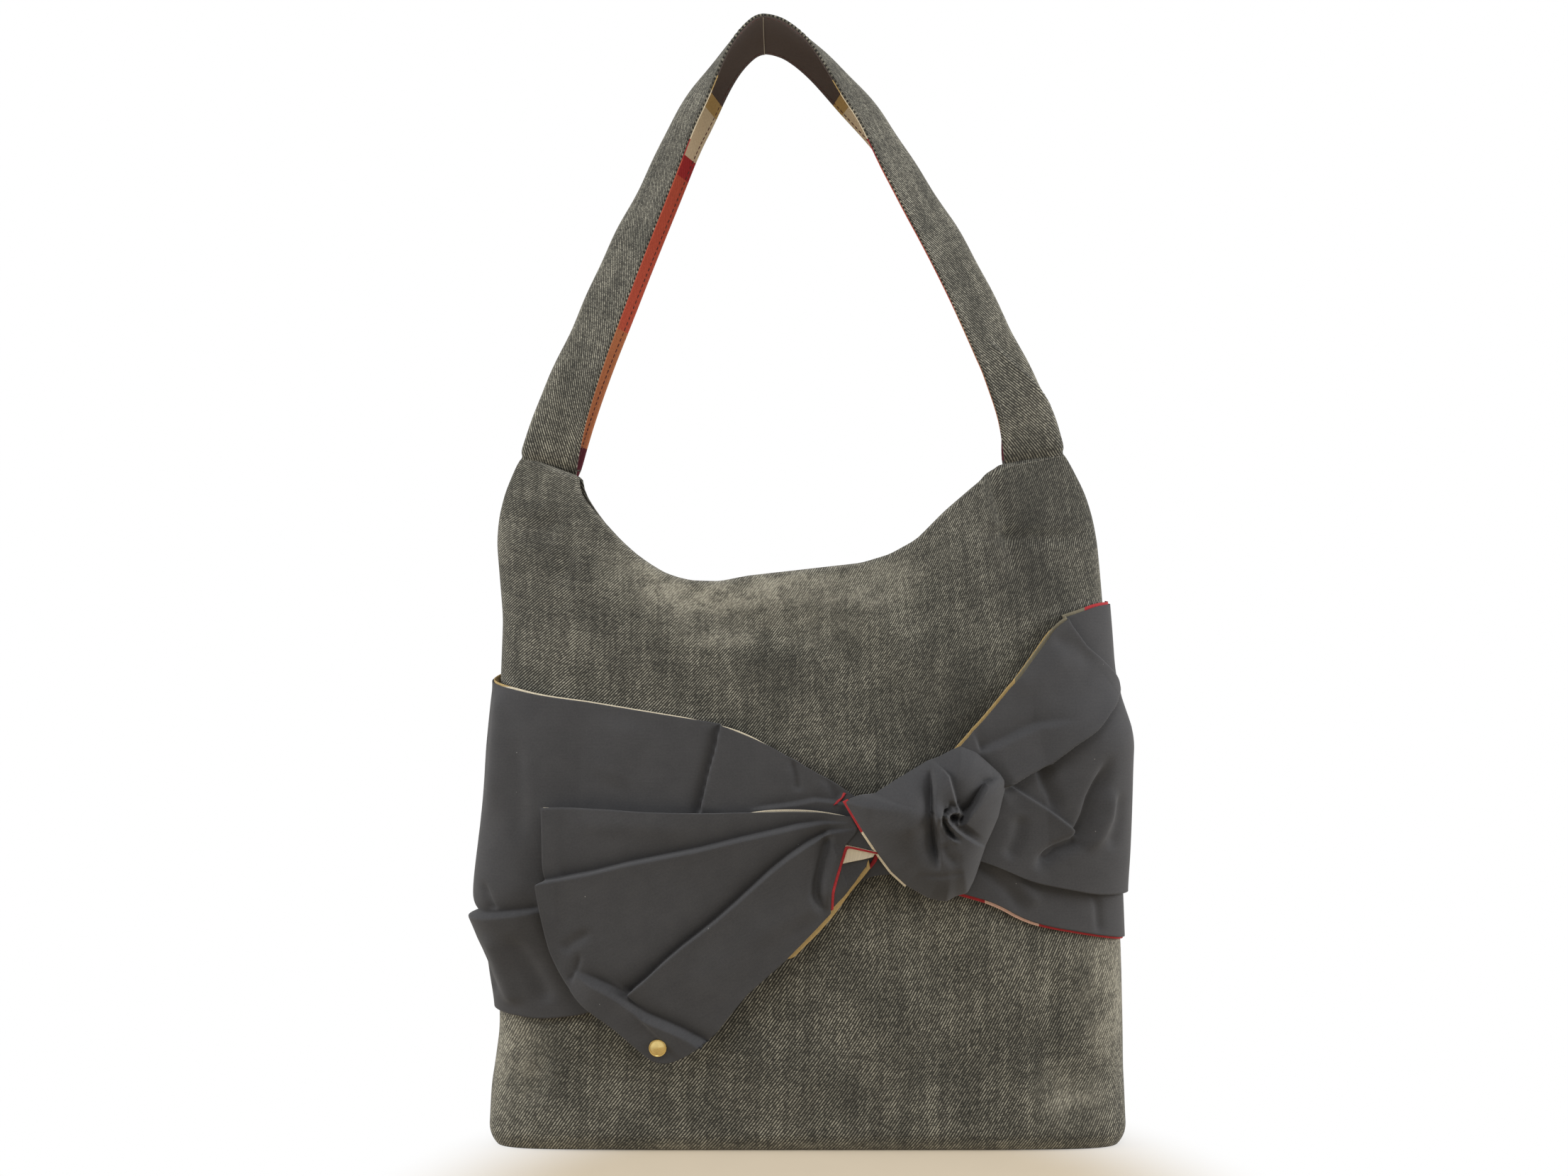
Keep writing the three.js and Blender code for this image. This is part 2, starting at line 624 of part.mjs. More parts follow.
function tailPlace(u, v) {
  const down = lerp(TAIL_ROOT_END, TAIL_ROOT_START, v);
  const rim = knotRim.getPoint(1 - down * knotEdgeShare);
  const root = new THREE.Vector2(rim.x, rim.z).addScaledVector(tailWay, TAIL_ROOT_CLEARANCE);
  const angle = degToRad(lerp(TAIL_LOW_ANGLE, TAIL_TOP_ANGLE, v));
  const end = new THREE.Vector2(Math.cos(angle), Math.sin(angle)).multiplyScalar(TAIL_RADIUS);
  end.add(new THREE.Vector2(...TAIL_CENTRE));
  const rule = end.clone().sub(root);
  const bow = TAIL_BOW * Math.sin(Math.PI * Math.sqrt(u)) * (1 - v) ** 2;
  const aside = new THREE.Vector2(-rule.y, rule.x).normalize();
  return root.addScaledVector(rule, u).addScaledVector(aside, bow);
}

const tailSurface = (raise) => (u, v) => {
  const { x, y: z } = tailPlace(u, v);
  const settle = smoothstep(u, TAIL_FLAT_END, TAIL_PLEATS_START);
  const standOff = TAIL_END_LIFT * smoothstep(u, TAIL_STAND_START, 1);
  return frontPoint(x, z, TAIL_LIFT + standOff + settle * addFolds(TAIL_FOLDS, x, z) + raise);
};
const tailUnder = SASH_LINING + CLEARANCE;
const tailTop = tailUnder + SASH_CLOTH;
const tailCloth = clothSolid(tailSurface(tailTop), tailSurface(tailUnder), TAIL_GRID);
const tailLining = clothSolid(tailSurface(SASH_LINING), tailSurface(0), TAIL_GRID);

// Stud through the tail's tip: a domed cap on a post, and a back disc
const studPost = tailTop + CLEARANCE + STUD_BACK_CLEARANCE;
const studCap = [
  [0, -studPost], [STUD_POST_RADIUS, -studPost], [STUD_POST_RADIUS, 0], [STUD_RADIUS, 0],
  [STUD_RADIUS, STUD_RIM], [STUD_RADIUS - STUD_RIM_WIDTH, STUD_RIM],
  [STUD_RADIUS * STUD_SHOULDER.out, STUD_RIM + STUD_DOME * STUD_SHOULDER.up], [0, STUD_RIM + STUD_DOME],
];
const studBack = [[0, 0], [STUD_BACK_RADIUS, 0], [STUD_BACK_RADIUS, STUD_BACK], [0, STUD_BACK]];
const holeRadius = STUD_POST_RADIUS + CLEARANCE;
const holeReach = 3 * studPost;
const studHole = [[0, -holeReach], [holeRadius, -holeReach], [holeRadius, holeReach], [0, holeReach]];

function studFrame(raise) {
  const [u, v] = STUD_PLACE;
  const surface = tailSurface(raise);
  const seat = surface(u, v);
  const along = surface(u + TANGENT_STEP, v).sub(surface(u - TANGENT_STEP, v));
  const up = surface(u, v + TANGENT_STEP).sub(surface(u, v - TANGENT_STEP));
  const outwards = along.cross(up).normalize();
  outwards.multiplyScalar(-Math.sign(outwards.y));
  const turn = new THREE.Quaternion().setFromUnitVectors(new THREE.Vector3(0, 1, 0), outwards);
  return { seat, outwards, turn };
}

const studSeat = studFrame(tailTop);
const punch = turned(studHole).applyQuaternion(studSeat.turn).translate(...studSeat.seat.toArray());
addPiece("sash_tail", cutAway(tailCloth, punch), cotton);
addPiece("sash_tail_lining", cutAway(tailLining, punch), tanLining);

function addStud(name, profile, offset) {
  const stud = addPiece(name, turned(profile), brass);
  stud.quaternion.copy(studSeat.turn);
  stud.position.copy(studSeat.seat).addScaledVector(studSeat.outwards, offset);
}
addStud("stud_cap", studCap, CLEARANCE);
addStud("stud_back", studBack, -studPost - STUD_BACK);

export default bag;
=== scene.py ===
"""Looks of a charcoal denim shoulder bag with a tied cotton sash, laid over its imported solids.

The file is laid out as an add-on: each operator makes one group of pieces, the panel lists them,
and main() runs them in order. Cloth is worked out in millimetres and laid in metres, in the frame
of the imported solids: +Z up, the front faces -Y, the origin in the middle of the base."""

import bpy
import numpy as np
from bpy.props import FloatProperty, FloatVectorProperty, PointerProperty
from mathutils import Matrix, Vector


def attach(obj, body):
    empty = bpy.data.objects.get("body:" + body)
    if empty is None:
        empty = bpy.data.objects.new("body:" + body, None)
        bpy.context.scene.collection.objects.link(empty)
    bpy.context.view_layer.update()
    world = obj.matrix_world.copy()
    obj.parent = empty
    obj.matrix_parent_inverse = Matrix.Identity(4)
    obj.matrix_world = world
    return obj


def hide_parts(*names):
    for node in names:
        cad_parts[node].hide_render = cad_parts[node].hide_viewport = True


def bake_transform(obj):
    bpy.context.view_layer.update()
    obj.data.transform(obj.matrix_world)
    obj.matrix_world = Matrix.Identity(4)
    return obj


bl_info = {
    "name": "Sash Shoulder Bag",
    "version": (1, 0, 0),
    "blender": (4, 5, 0),
    "location": "View3D > Sidebar > Sash Bag",
    "description": "Dresses the solids of a denim shoulder bag with woven cloth, a tied sash and a strap",
    "category": "Object",
}

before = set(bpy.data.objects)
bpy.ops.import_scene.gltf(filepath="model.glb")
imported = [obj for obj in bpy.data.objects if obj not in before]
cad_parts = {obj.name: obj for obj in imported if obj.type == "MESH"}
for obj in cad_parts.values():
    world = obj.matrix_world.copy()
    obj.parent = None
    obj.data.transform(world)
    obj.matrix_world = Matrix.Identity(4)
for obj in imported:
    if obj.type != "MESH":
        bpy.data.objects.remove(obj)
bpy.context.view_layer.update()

MM = 0.001
FRONT = -1
BACK = 1
LEFT = -1
RIGHT = 1

# Body form: reach of each side at some heights, then the section's depth and squareness
SIDE_HEIGHTS = (0, 30, 62, 95, 150, 250, 300, 325, 345, 360, 375, 392, 402)
LEFT_REACH = (183, 183.7, 179.3, 179.5, 180, 181, 180, 182.5, 184.5, 183.5, 180, 173, 168)
RIGHT_REACH = (184, 185.3, 185, 184.3, 182.5, 180, 177, 175.5, 174, 171.5, 167, 158.5, 153)
SIDE_SOFTNESS = 21
BASE_ROLL = 4
BASE_ROLL_HEIGHT = 11
HALF_DEPTH = 48
SHOULDER_HALF_DEPTH = 5
CLOSING_START = 110
SEAM_TOP = 399.6
BASE_SQUARENESS = 5
CORNER_SQUARENESS = 5
CORNER_HEIGHT = 45
TOP_SQUARENESS = 2.4
HALF_GAP = 0.15

# Shoulder seams and the scooped mouth
SEAM_HEIGHT = {LEFT: 397, RIGHT: 399.6}
SEAM_LEAN = {LEFT: 20, RIGHT: 12}
SEAM_HALF_WIDTH = {LEFT: 36.5, RIGHT: 38.5}
MOUTH_LINE = (
    (-135, 373.7), (-128.4, 366.4), (-119, 356.4), (-109.4, 346.3), (-99.9, 338), (-91.5, 332.2),
    (-83, 327.2), (-74.8, 324.3), (-66.6, 322.4), (-50.3, 322), (-34, 325.2), (-1, 328.9),
    (31.8, 332.6), (48.4, 337.6), (65, 346.7), (82.3, 363.6), (99.7, 378.1),
)
MOUTH_SOFTNESS = 9
BACK_DROP = 6.5
LEFT_SLOPE_START = -66
LEFT_SLOPE_RUN = 66
RIGHT_SLOPE_START = 28
RIGHT_SLOPE_RUN = 84
FACING_DEPTH = 45
LINING_INSET = 1.7
FLOOR_HEIGHT = 3.8

# Strap: spine, opening and the roll of cloth over its seam
STRAP_LINES = {
    LEFT: (
        (-161.3, 426), (-147.2, 460), (-131.1, 494), (-115, 528), (-98, 562), (-81.4, 596), (-70, 613),
        (-58, 629), (-46, 642), (-35, 650.5), (-29, 653), (-25, 653.3),
    ),
    RIGHT: (
        (147.6, 426), (130.6, 460), (112.7, 494), (94, 528), (73.2, 562), (50.3, 596), (37, 612.5),
        (22, 628.5), (7, 641.5), (-9, 650.5), (-19, 653), (-25, 653.3),
    ),
}
STRAP_TOP_HALF_WIDTH = 27.5
STRAP_FRONT_EXTRA = {
    LEFT: ((0, 0), (0.12, 0.4), (0.85, 0.6), (1, 0)),
    RIGHT: (
        (0, 0), (0.1, 0), (0.22, -1), (0.34, 0), (0.44, 2), (0.53, 4), (0.62, 4.2), (0.67, 2.5),
        (0.72, 0.7), (0.85, 0.9), (1, 0),
    ),
}
STRAP_BACK_EXTRA = {
    LEFT: ((0, 0.9), (0.12, 1.2), (0.35, 1.0), (0.6, 0.6), (1, 0.5)),
    RIGHT: (
        (0, 0), (0.06, -4.2), (0.12, -6), (0.19, -7), (0.25, -8), (0.34, -10.5), (0.53, -11),
        (0.62, -11.5), (0.67, -10.5), (0.72, -8), (0.8, -4.5), (0.9, -1), (1, 0),
    ),
}
STRAP_EXTRA_EASE = 0.02
STRAP_CREASE = ((80, -23), (50, -9), (26, 0))
STRAP_OPENING = np.radians(54)
STRAP_TOP_OPENING = np.radians(26)
STRAP_FOLD_RADIUS = 2.6
STRAP_TOP_ROUNDING = 14
STRAP_BEND_RADIUS = 16
STRAP_BEND_LENGTH = 0.1
STRAP_TUCK = 5
STRAP_TUCK_PINCH = 0.3
STRAP_ROLL = 1.3
STRAP_ROLL_START = 2.5
STRAP_ROLL_END = 20
STRAP_DIP = 0.7
STRAP_DIP_REACH = 1.6
STRAP_CRUMPLE = 0.6
STRAP_CRUMPLE_ENDS = (40, 60)
SECTION_STEPS = 14


def ease(t):
    """A smooth step from 0 to 1."""
    t = np.clip(t, 0, 1)
    return t * t * (3 - 2 * t)


def soft_line(points, way, reach=6.0):
    """Values along a bent line of (place, value) points, with its corners eased."""
    places, values = np.array(points, float).T
    shifts = (-reach, -reach / 2, 0, reach / 2, reach)
    return sum(np.interp(way + shift, places, values) for shift in shifts) / len(shifts)


def along_line(x, z, points):
    """Distance from a bent line, above 0 on the left of its way, and the share of its length passed."""
    line = np.array(points, float)
    lengths = np.hypot(*np.diff(line, axis=0).T)
    nearest = np.full(np.shape(x), np.inf)
    aside = np.zeros(np.shape(x))
    share = np.zeros(np.shape(x))
    passed = 0
    for start, end, length in zip(line[:-1], line[1:], lengths):
        way = (end - start) / length
        held = np.clip((x - start[0]) * way[0] + (z - start[1]) * way[1], 0, length)
        away = np.hypot(x - start[0] - held * way[0], z - start[1] - held * way[1])
        turn = (z - start[1]) * way[0] - (x - start[0]) * way[1]
        nearer = away < nearest
        nearest = np.where(nearer, away, nearest)
        aside = np.where(nearer, np.where(turn < 0, -away, away), aside)
        share = np.where(nearer, (passed + held) / lengths.sum(), share)
        passed += length
    return aside, share


def line_ends(share, fade):
    """Fades a fold in and out over a share of its length at each end."""
    return ease(share / fade[0]) * ease((1 - share) / fade[1])


def lap(x, z, line, up, sink, reach=(22, 5), edge=0.6, fade=(0.25, 0.25)):
    """An overlap: cloth on the left of a line lies on top, and cloth on its right dives under it."""
    aside, share = along_line(x, z, line)
    over = 0.5 + 0.5 * np.tanh(aside / edge)
    raised = up * np.exp(-np.maximum(aside, 0) / reach[0])
    sunk = sink * np.exp(-np.maximum(-aside, 0) / reach[1])
    return line_ends(share, fade) * (over * raised - (1 - over) * sunk)


def ridge(x, z, line, height, width, fade=(0.25, 0.25)):
    """A soft ridge along a line, or a groove where its height is below 0."""
    aside, share = along_line(x, z, line)
    return height * line_ends(share, fade) * np.exp(-((aside / width) ** 2))


def dimple(x, z, centre, depth, radius):
    """A soft round hollow."""
    return -depth * np.exp(-((x - centre[0]) ** 2 + (z - centre[1]) ** 2) / radius**2)


def folded(x, z, folds, height=0.0):
    """A height with folds added: each is one of the shapes above, its line and its measures."""
    for shape, line, *measures in folds:
        height = height + shape(x, z, line, *measures)
    return height


def eased(line, softness):
    """A row of values with its corners eased."""
    weights = np.hanning(softness + 2)[1:-1]
    padded = np.pad(line, softness // 2, mode="edge")
    return np.convolve(padded, weights / weights.sum(), mode="valid")


# Body surface

TABLE_Z = np.arange(0.0, 431.0)


def side_table(reach):
    """One side's reach for each millimetre of height, with its corners eased."""
    return eased(np.interp(TABLE_Z, SIDE_HEIGHTS, reach), SIDE_SOFTNESS)


LEFT_SIDE = side_table(LEFT_REACH)
RIGHT_SIDE = side_table(RIGHT_REACH)


def base_roll(z):
    return BASE_ROLL * np.clip(1 - z / BASE_ROLL_HEIGHT, 0, 1) ** 2


def middle(z):
    return (np.interp(z, TABLE_Z, RIGHT_SIDE) - np.interp(z, TABLE_Z, LEFT_SIDE)) / 2


def half_width(z):
    both = np.interp(z, TABLE_Z, RIGHT_SIDE) + np.interp(z, TABLE_Z, LEFT_SIDE)
    return both / 2 - base_roll(z)


def closing(z):
    return np.clip((z - CLOSING_START) / (SEAM_TOP - CLOSING_START), 0, 1)


def half_depth(z):
    return HALF_DEPTH - base_roll(z) - (HALF_DEPTH - SHOULDER_HALF_DEPTH) * closing(z) ** 3


def section_out(share, z):
    """How far a share of the width stands out, from 1 in the middle to 0 at the side seams."""
    square = BASE_SQUARENESS + (TOP_SQUARENESS - BASE_SQUARENESS) * closing(z)
    square = square + CORNER_SQUARENESS * np.clip(1 - z / CORNER_HEIGHT, 0, 1) ** 2
    return np.clip(1 - np.abs(share) ** square, 0, 1) ** (1 / square)


FRONT_DENTS = (
    (ridge, ((96, 352), (128, 347), (158, 348), (180, 352)), -2.2, 3.6),
    (ridge, ((109, 394), (112, 376), (119, 350), (121, 318)), -2.4, 4.5, (0.08, 0.4)),
    (ridge, ((-186, 362), (-162, 353), (-138, 355)), -3.2, 7, (0.15, 0.3)),
    (ridge, ((-142, 352), (-139, 338), (-142, 318)), -1.6, 5),
    (ridge, ((-90, 318), (-40, 296), (30, 290)), -1.6, 12),
    (ridge, ((20, 318), (48, 292), (60, 262)), 1.5, 12),
    (ridge, ((60, 140), (85, 80), (80, 12)), -1.4, 18),
    (ridge, ((150, 105), (136, 60), (150, 14)), -1.6, 12),
    (ridge, ((-168, 70), (-152, 50), (-158, 22)), -1.8, 7),
    (ridge, ((-60, 60), (-20, 40), (30, 46)), 1.4, 18),
)
BACK_DENTS = (
    (ridge, ((-150, 300), (-60, 250), (40, 270)), -2.0, 26),
    (ridge, ((60, 120), (120, 200), (150, 300)), -1.8, 22),
    (ridge, ((-120, 30), (-60, 110), (-70, 200)), 1.6, 24),
)


def body_dents(x, z, face):
    """Soft dents and swellings of the standing cloth."""
    return folded(x, z, BACK_DENTS if face == BACK else FRONT_DENTS)


def body_point(share, z, inset, face):
    """A point of the body from -1 at the left seam to 1 at the right one, in from its outside."""
    share, z, inset = np.broadcast_arrays(share, z, inset)
    out = section_out(share, z)
    x = middle(z) + half_width(z) * share
    inset = inset - body_dents(x, z, face) * (1 - np.abs(share) ** 8)
    depth = HALF_GAP + (half_depth(z) - inset) * out
    return np.stack([x - inset * share, face * depth, z], axis=-1)


def column_share(u):
    return np.sin(np.pi / 2 * (2 * u - 1))


def strap_seam(side):
    """The seam under one strap leg: its outer and inner ends and the strap's way up, as (x, z)."""
    height = SEAM_HEIGHT[side]
    tilt = np.radians(SEAM_LEAN[side])
    outer = np.array([middle(height) + side * half_width(height), height])
    up = np.array([-side * np.sin(tilt), np.cos(tilt)])
    inwards = np.array([-side * up[1], side * up[0]])
    return outer, outer + SEAM_HALF_WIDTH[side] * inwards, up


MOUTH_X = np.arange(-180.0, 181.0)


def mouth_table():
    """The mouth's height for each millimetre across, between the seams' inner ends, eased a little."""
    points = np.array([strap_seam(LEFT)[1], *MOUTH_LINE, strap_seam(RIGHT)[1]])
    return eased(np.interp(MOUTH_X, points[:, 0], points[:, 1]), MOUTH_SOFTNESS)


MOUTH_HEIGHTS = mouth_table()


def rim_height(x):
    """Height of the body's top edge: shoulder seam, scooped mouth, shoulder seam."""
    heights = np.interp(x, MOUTH_X, MOUTH_HEIGHTS)
    for side in (LEFT, RIGHT):
        outer, inner, _ = strap_seam(side)
        seam = inner[1] + (outer[1] - inner[1]) * (x - inner[0]) / (outer[0] - inner[0])
        heights = np.where(side * (x - inner[0]) >= 0, seam, heights)
    return heights


def back_drop(x):
    """How much lower the mouth lies at the back, on its two slopes."""
    left = np.clip((LEFT_SLOPE_START - x) / LEFT_SLOPE_RUN, 0, 1)
    right = np.clip((x - RIGHT_SLOPE_START) / RIGHT_SLOPE_RUN, 0, 1)
    return BACK_DROP * 4 * (left * (1 - left) + right * (1 - right))


def rim_at(share, face):
    z = np.full(np.shape(share), 330.0)
    for _ in range(40):
        x = middle(z) + half_width(z) * share
        z += 0.6 * (rim_height(x) - z)
    if face == BACK:
        z -= back_drop(middle(z) + half_width(z) * share)
    return z


# Walks round the front of the body, for the sash and the twill

WALK_TURNS = np.linspace(0, np.pi / 2, 181)
WALK_Z = np.arange(0.0, 426.0, 5.0)
WALK_STEP = 0.5
WALK_PATHS = np.arange(0, 300, WALK_STEP)


def walk_tables():
    """The distance walked for each turn, and the turn for each distance, row by row."""
    walks = []
    turns = []
    for z in WALK_Z:
        share = np.sin(WALK_TURNS)
        x = half_width(z) * share
        y = half_depth(z) * section_out(share, z)
        walked = np.concatenate([[0], np.cumsum(np.hypot(np.diff(x), np.diff(y)))])
        walks.append(walked)
        turns.append(np.interp(WALK_PATHS, walked, WALK_TURNS))
    return np.array(walks), np.array(turns)


WALKS, TURNS = walk_tables()


def half_girth(z):
    return np.interp(z, WALK_Z, WALKS[:, -1])


def between(table, row, column):
    """Values of a table between its rows and columns."""
    row = np.clip(row, 0, table.shape[0] - 1.001)
    column = np.clip(column, 0, table.shape[1] - 1.001)
    i, j = row.astype(int), column.astype(int)
    a, b = row - i, column - j
    near = table[i, j] * (1 - b) + table[i, j + 1] * b
    far = table[i + 1, j] * (1 - b) + table[i + 1, j + 1] * b
    return near * (1 - a) + far * a


def front_point(path, z, lift):
    """A point in front of the body, by the distance walked round it from the middle of the front."""
    path, z, lift = np.broadcast_arrays(path, z, lift)
    turn = between(TURNS, z / WALK_Z[1], np.abs(path) / WALK_STEP)
    share = np.sign(path) * np.sin(turn)
    return body_point(share, z, -lift, FRONT)


def forward_point(x, z, lift):
    """A point straight in front of the body's face."""
    spots = front_point(x, z, 0.0)
    spots[..., 1] -= lift
    return spots


# Cloth: the rectangle that each sheet is cut from, in metres

LEFT_FLAT = (0.30, 0.20)
RIGHT_FLAT = (0.17, 0.20)
LOOP_FLAT = (0.19, 0.18)
FORWARD = (0, FRONT, 0)


def deselect():
    bpy.ops.object.select_all(action="DESELECT")


def activate(piece):
    """Selects one piece and makes it the active one."""
    deselect()
    piece.select_set(True)
    bpy.context.view_layer.objects.active = piece


def unit(rows):
    """Rows of a table of vectors, each with a length of 1."""
    return rows / np.linalg.norm(rows, axis=1, keepdims=True)


def finish_modifier(piece, kind, name, **settings):
    """Adds a modifier to a piece and applies it."""
    activate(piece)
    modifier = piece.modifiers.new(name, kind)
    for key, value in settings.items():
        setattr(modifier, key, value)
    bpy.ops.object.modifier_apply(modifier=modifier.name)


def face_areas(mesh):
    areas = np.empty(len(mesh.polygons))
    normals = np.empty(3 * len(mesh.polygons))
    mesh.polygons.foreach_get("area", areas)
    mesh.polygons.foreach_get("normal", normals)
    return areas, normals.reshape(-1, 3)


def lay_cloth(name, grid, place, weave, thickness, outward, wear_and_shade=None):
    """A sheet on a grid: place gives its outer side in millimetres, weave its lengths of thread."""
    deselect()
    columns, rows = grid
    bpy.ops.mesh.primitive_grid_add(x_subdivisions=columns, y_subdivisions=rows, size=2)
    cloth = bpy.context.object
    cloth.name = name
    mesh = cloth.data
    mesh.name = name
    flat = np.empty(3 * len(mesh.vertices))
    mesh.vertices.foreach_get("co", flat)
    u, v = (flat.reshape(-1, 3)[:, :2].T + 1) / 2
    spots = place(u, v)
    mesh.vertices.foreach_set("co", (spots * MM).ravel())
    threads = weave(u, v, spots)
    corners = np.empty(len(mesh.loops), dtype=np.int32)
    mesh.loops.foreach_get("vertex_index", corners)
    layer = mesh.uv_layers.active or mesh.uv_layers.new()
    layer.name = "Cloth"
    layer.data.foreach_set("uv", threads[corners].astype(np.float32).ravel())
    # The wear value marks rubbed places above 0 and painted shade below 0.
    if wear_and_shade is not None:
        worn = mesh.attributes.new("wear_and_shade", "FLOAT", "POINT")
        worn.data.foreach_set("value", np.clip(wear_and_shade(spots), -1, 1).astype(np.float32))
    mesh.update()
    areas, normals = face_areas(mesh)
    if (areas[:, None] * normals).sum(axis=0) @ np.array(outward, float) < 0:
        mesh.flip_normals()
    finish_modifier(cloth, "SOLIDIFY", "Thickness", thickness=thickness, offset=-1)
    activate(cloth)
    bpy.ops.object.shade_smooth()
    return cloth


def declare(cloth, nodes, body=None):
    """Hides the CAD nodes that a cloth piece stands for and, for one rigid body, attaches it to what it
    rides on.
    """
    if body:
        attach(cloth, body)
    if nodes:
        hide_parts(*nodes)


def lay_cotton(name, grid, place, weave):
    """A sheet of the sash's face cloth."""
    face = lay_cloth(name, grid, place, weave, sizes().cotton, FORWARD)
    paint(face, MATERIALS["cotton"])
    return face


def lay_backing(name, grid, place, weave):
    """A sheet of the sash's lining."""
    backing = lay_cloth(name, grid, place, weave, sizes().sash_lining, FORWARD)
    paint(backing, MATERIALS["sash_lining"])
    return backing


def lay_trim(name, grid, place, weave, body=None):
    """A narrow edge of sash lining that goes with a larger sheet."""
    trim = lay_backing(name, grid, place, weave)
    if body:
        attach(trim, body)
    return trim


# Materials


class Finish:
    """A material whose nodes are added one call at a time."""

    def __init__(self, name, **sockets):
        self.material = bpy.data.materials.new(name)
        self.material.use_nodes = True
        self.tree = self.material.node_tree
        self.shader = self.tree.nodes["Principled BSDF"]
        for socket, value in sockets.items():
            self.shader.inputs[socket.replace("_", " ")].default_value = value

    def node(self, kind, inputs=None, **settings):
        made = self.tree.nodes.new("ShaderNode" + kind)
        for key, value in settings.items():
            setattr(made, key, value)
        for key, value in (inputs or {}).items():
            self.put(made.inputs[key], value)
        return made.outputs

    def put(self, socket, value):
        if isinstance(value, bpy.types.NodeSocket):
            self.tree.links.new(value, socket)
        else:
            socket.default_value = value

    def math(self, operation, first, second=0.0, clamp=False):
        return self.node("Math", {0: first, 1: second}, operation=operation, use_clamp=clamp)[0]

    def scaled(self, vector, factors):
        return self.node("VectorMath", {0: vector, 1: factors}, operation="MULTIPLY")[0]

    def along(self, vector, way):
        return self.node("VectorMath", {0: vector, 1: way}, operation="DOT_PRODUCT")[1]

    def noise(self, vector, scale, detail=2.0, roughness=0.5):
        inputs = {"Vector": vector, "Scale": scale, "Detail": detail, "Roughness": roughness}
        return self.node("TexNoise", inputs)[0]

    def spread(self, value, low, high, to_low=0.0, to_high=1.0):
        inputs = {0: value, 1: low, 2: high, 3: to_low, 4: to_high}
        return self.node("MapRange", inputs, interpolation_type="SMOOTHSTEP")[0]

    def wave(self, phase):
        """A wave from 0 to 1 that repeats with each whole number of the phase."""
        turn = self.math("MULTIPLY", phase, 2 * np.pi)
        return self.math("MULTIPLY", self.math("ADD", self.math("COSINE", turn), 1.0), 0.5)

    def mix(self, share, first, second, blend="MIX"):
        made = self.tree.nodes.new("ShaderNodeMix")
        made.data_type = "RGBA"
        made.blend_type = blend
        self.put(made.inputs[0], share)
        self.put(made.inputs[6], first)
        self.put(made.inputs[7], second)
        return made.outputs[2]

    def threads(self):
        """The piece's own lengths of thread, in millimetres."""
        return self.node("UVMap", uv_map="Cloth")[0]

    def wear_and_shade(self):
        return self.node("Attribute", attribute_name="wear_and_shade")[2]

    def colour(self, value):
        self.put(self.shader.inputs["Base Color"], value)

    def specular(self, value):
        self.put(self.shader.inputs["Specular IOR Level"], value)

    def roughness(self, value):
        self.put(self.shader.inputs["Roughness"], value)

    def bump(self, height, distance, strength=1.0):
        inputs = {"Strength": strength, "Distance": distance, "Height": height}
        self.put(self.shader.inputs["Normal"], self.node("Bump", inputs)[0])


def opaque(colour):
    return (*colour, 1.0)


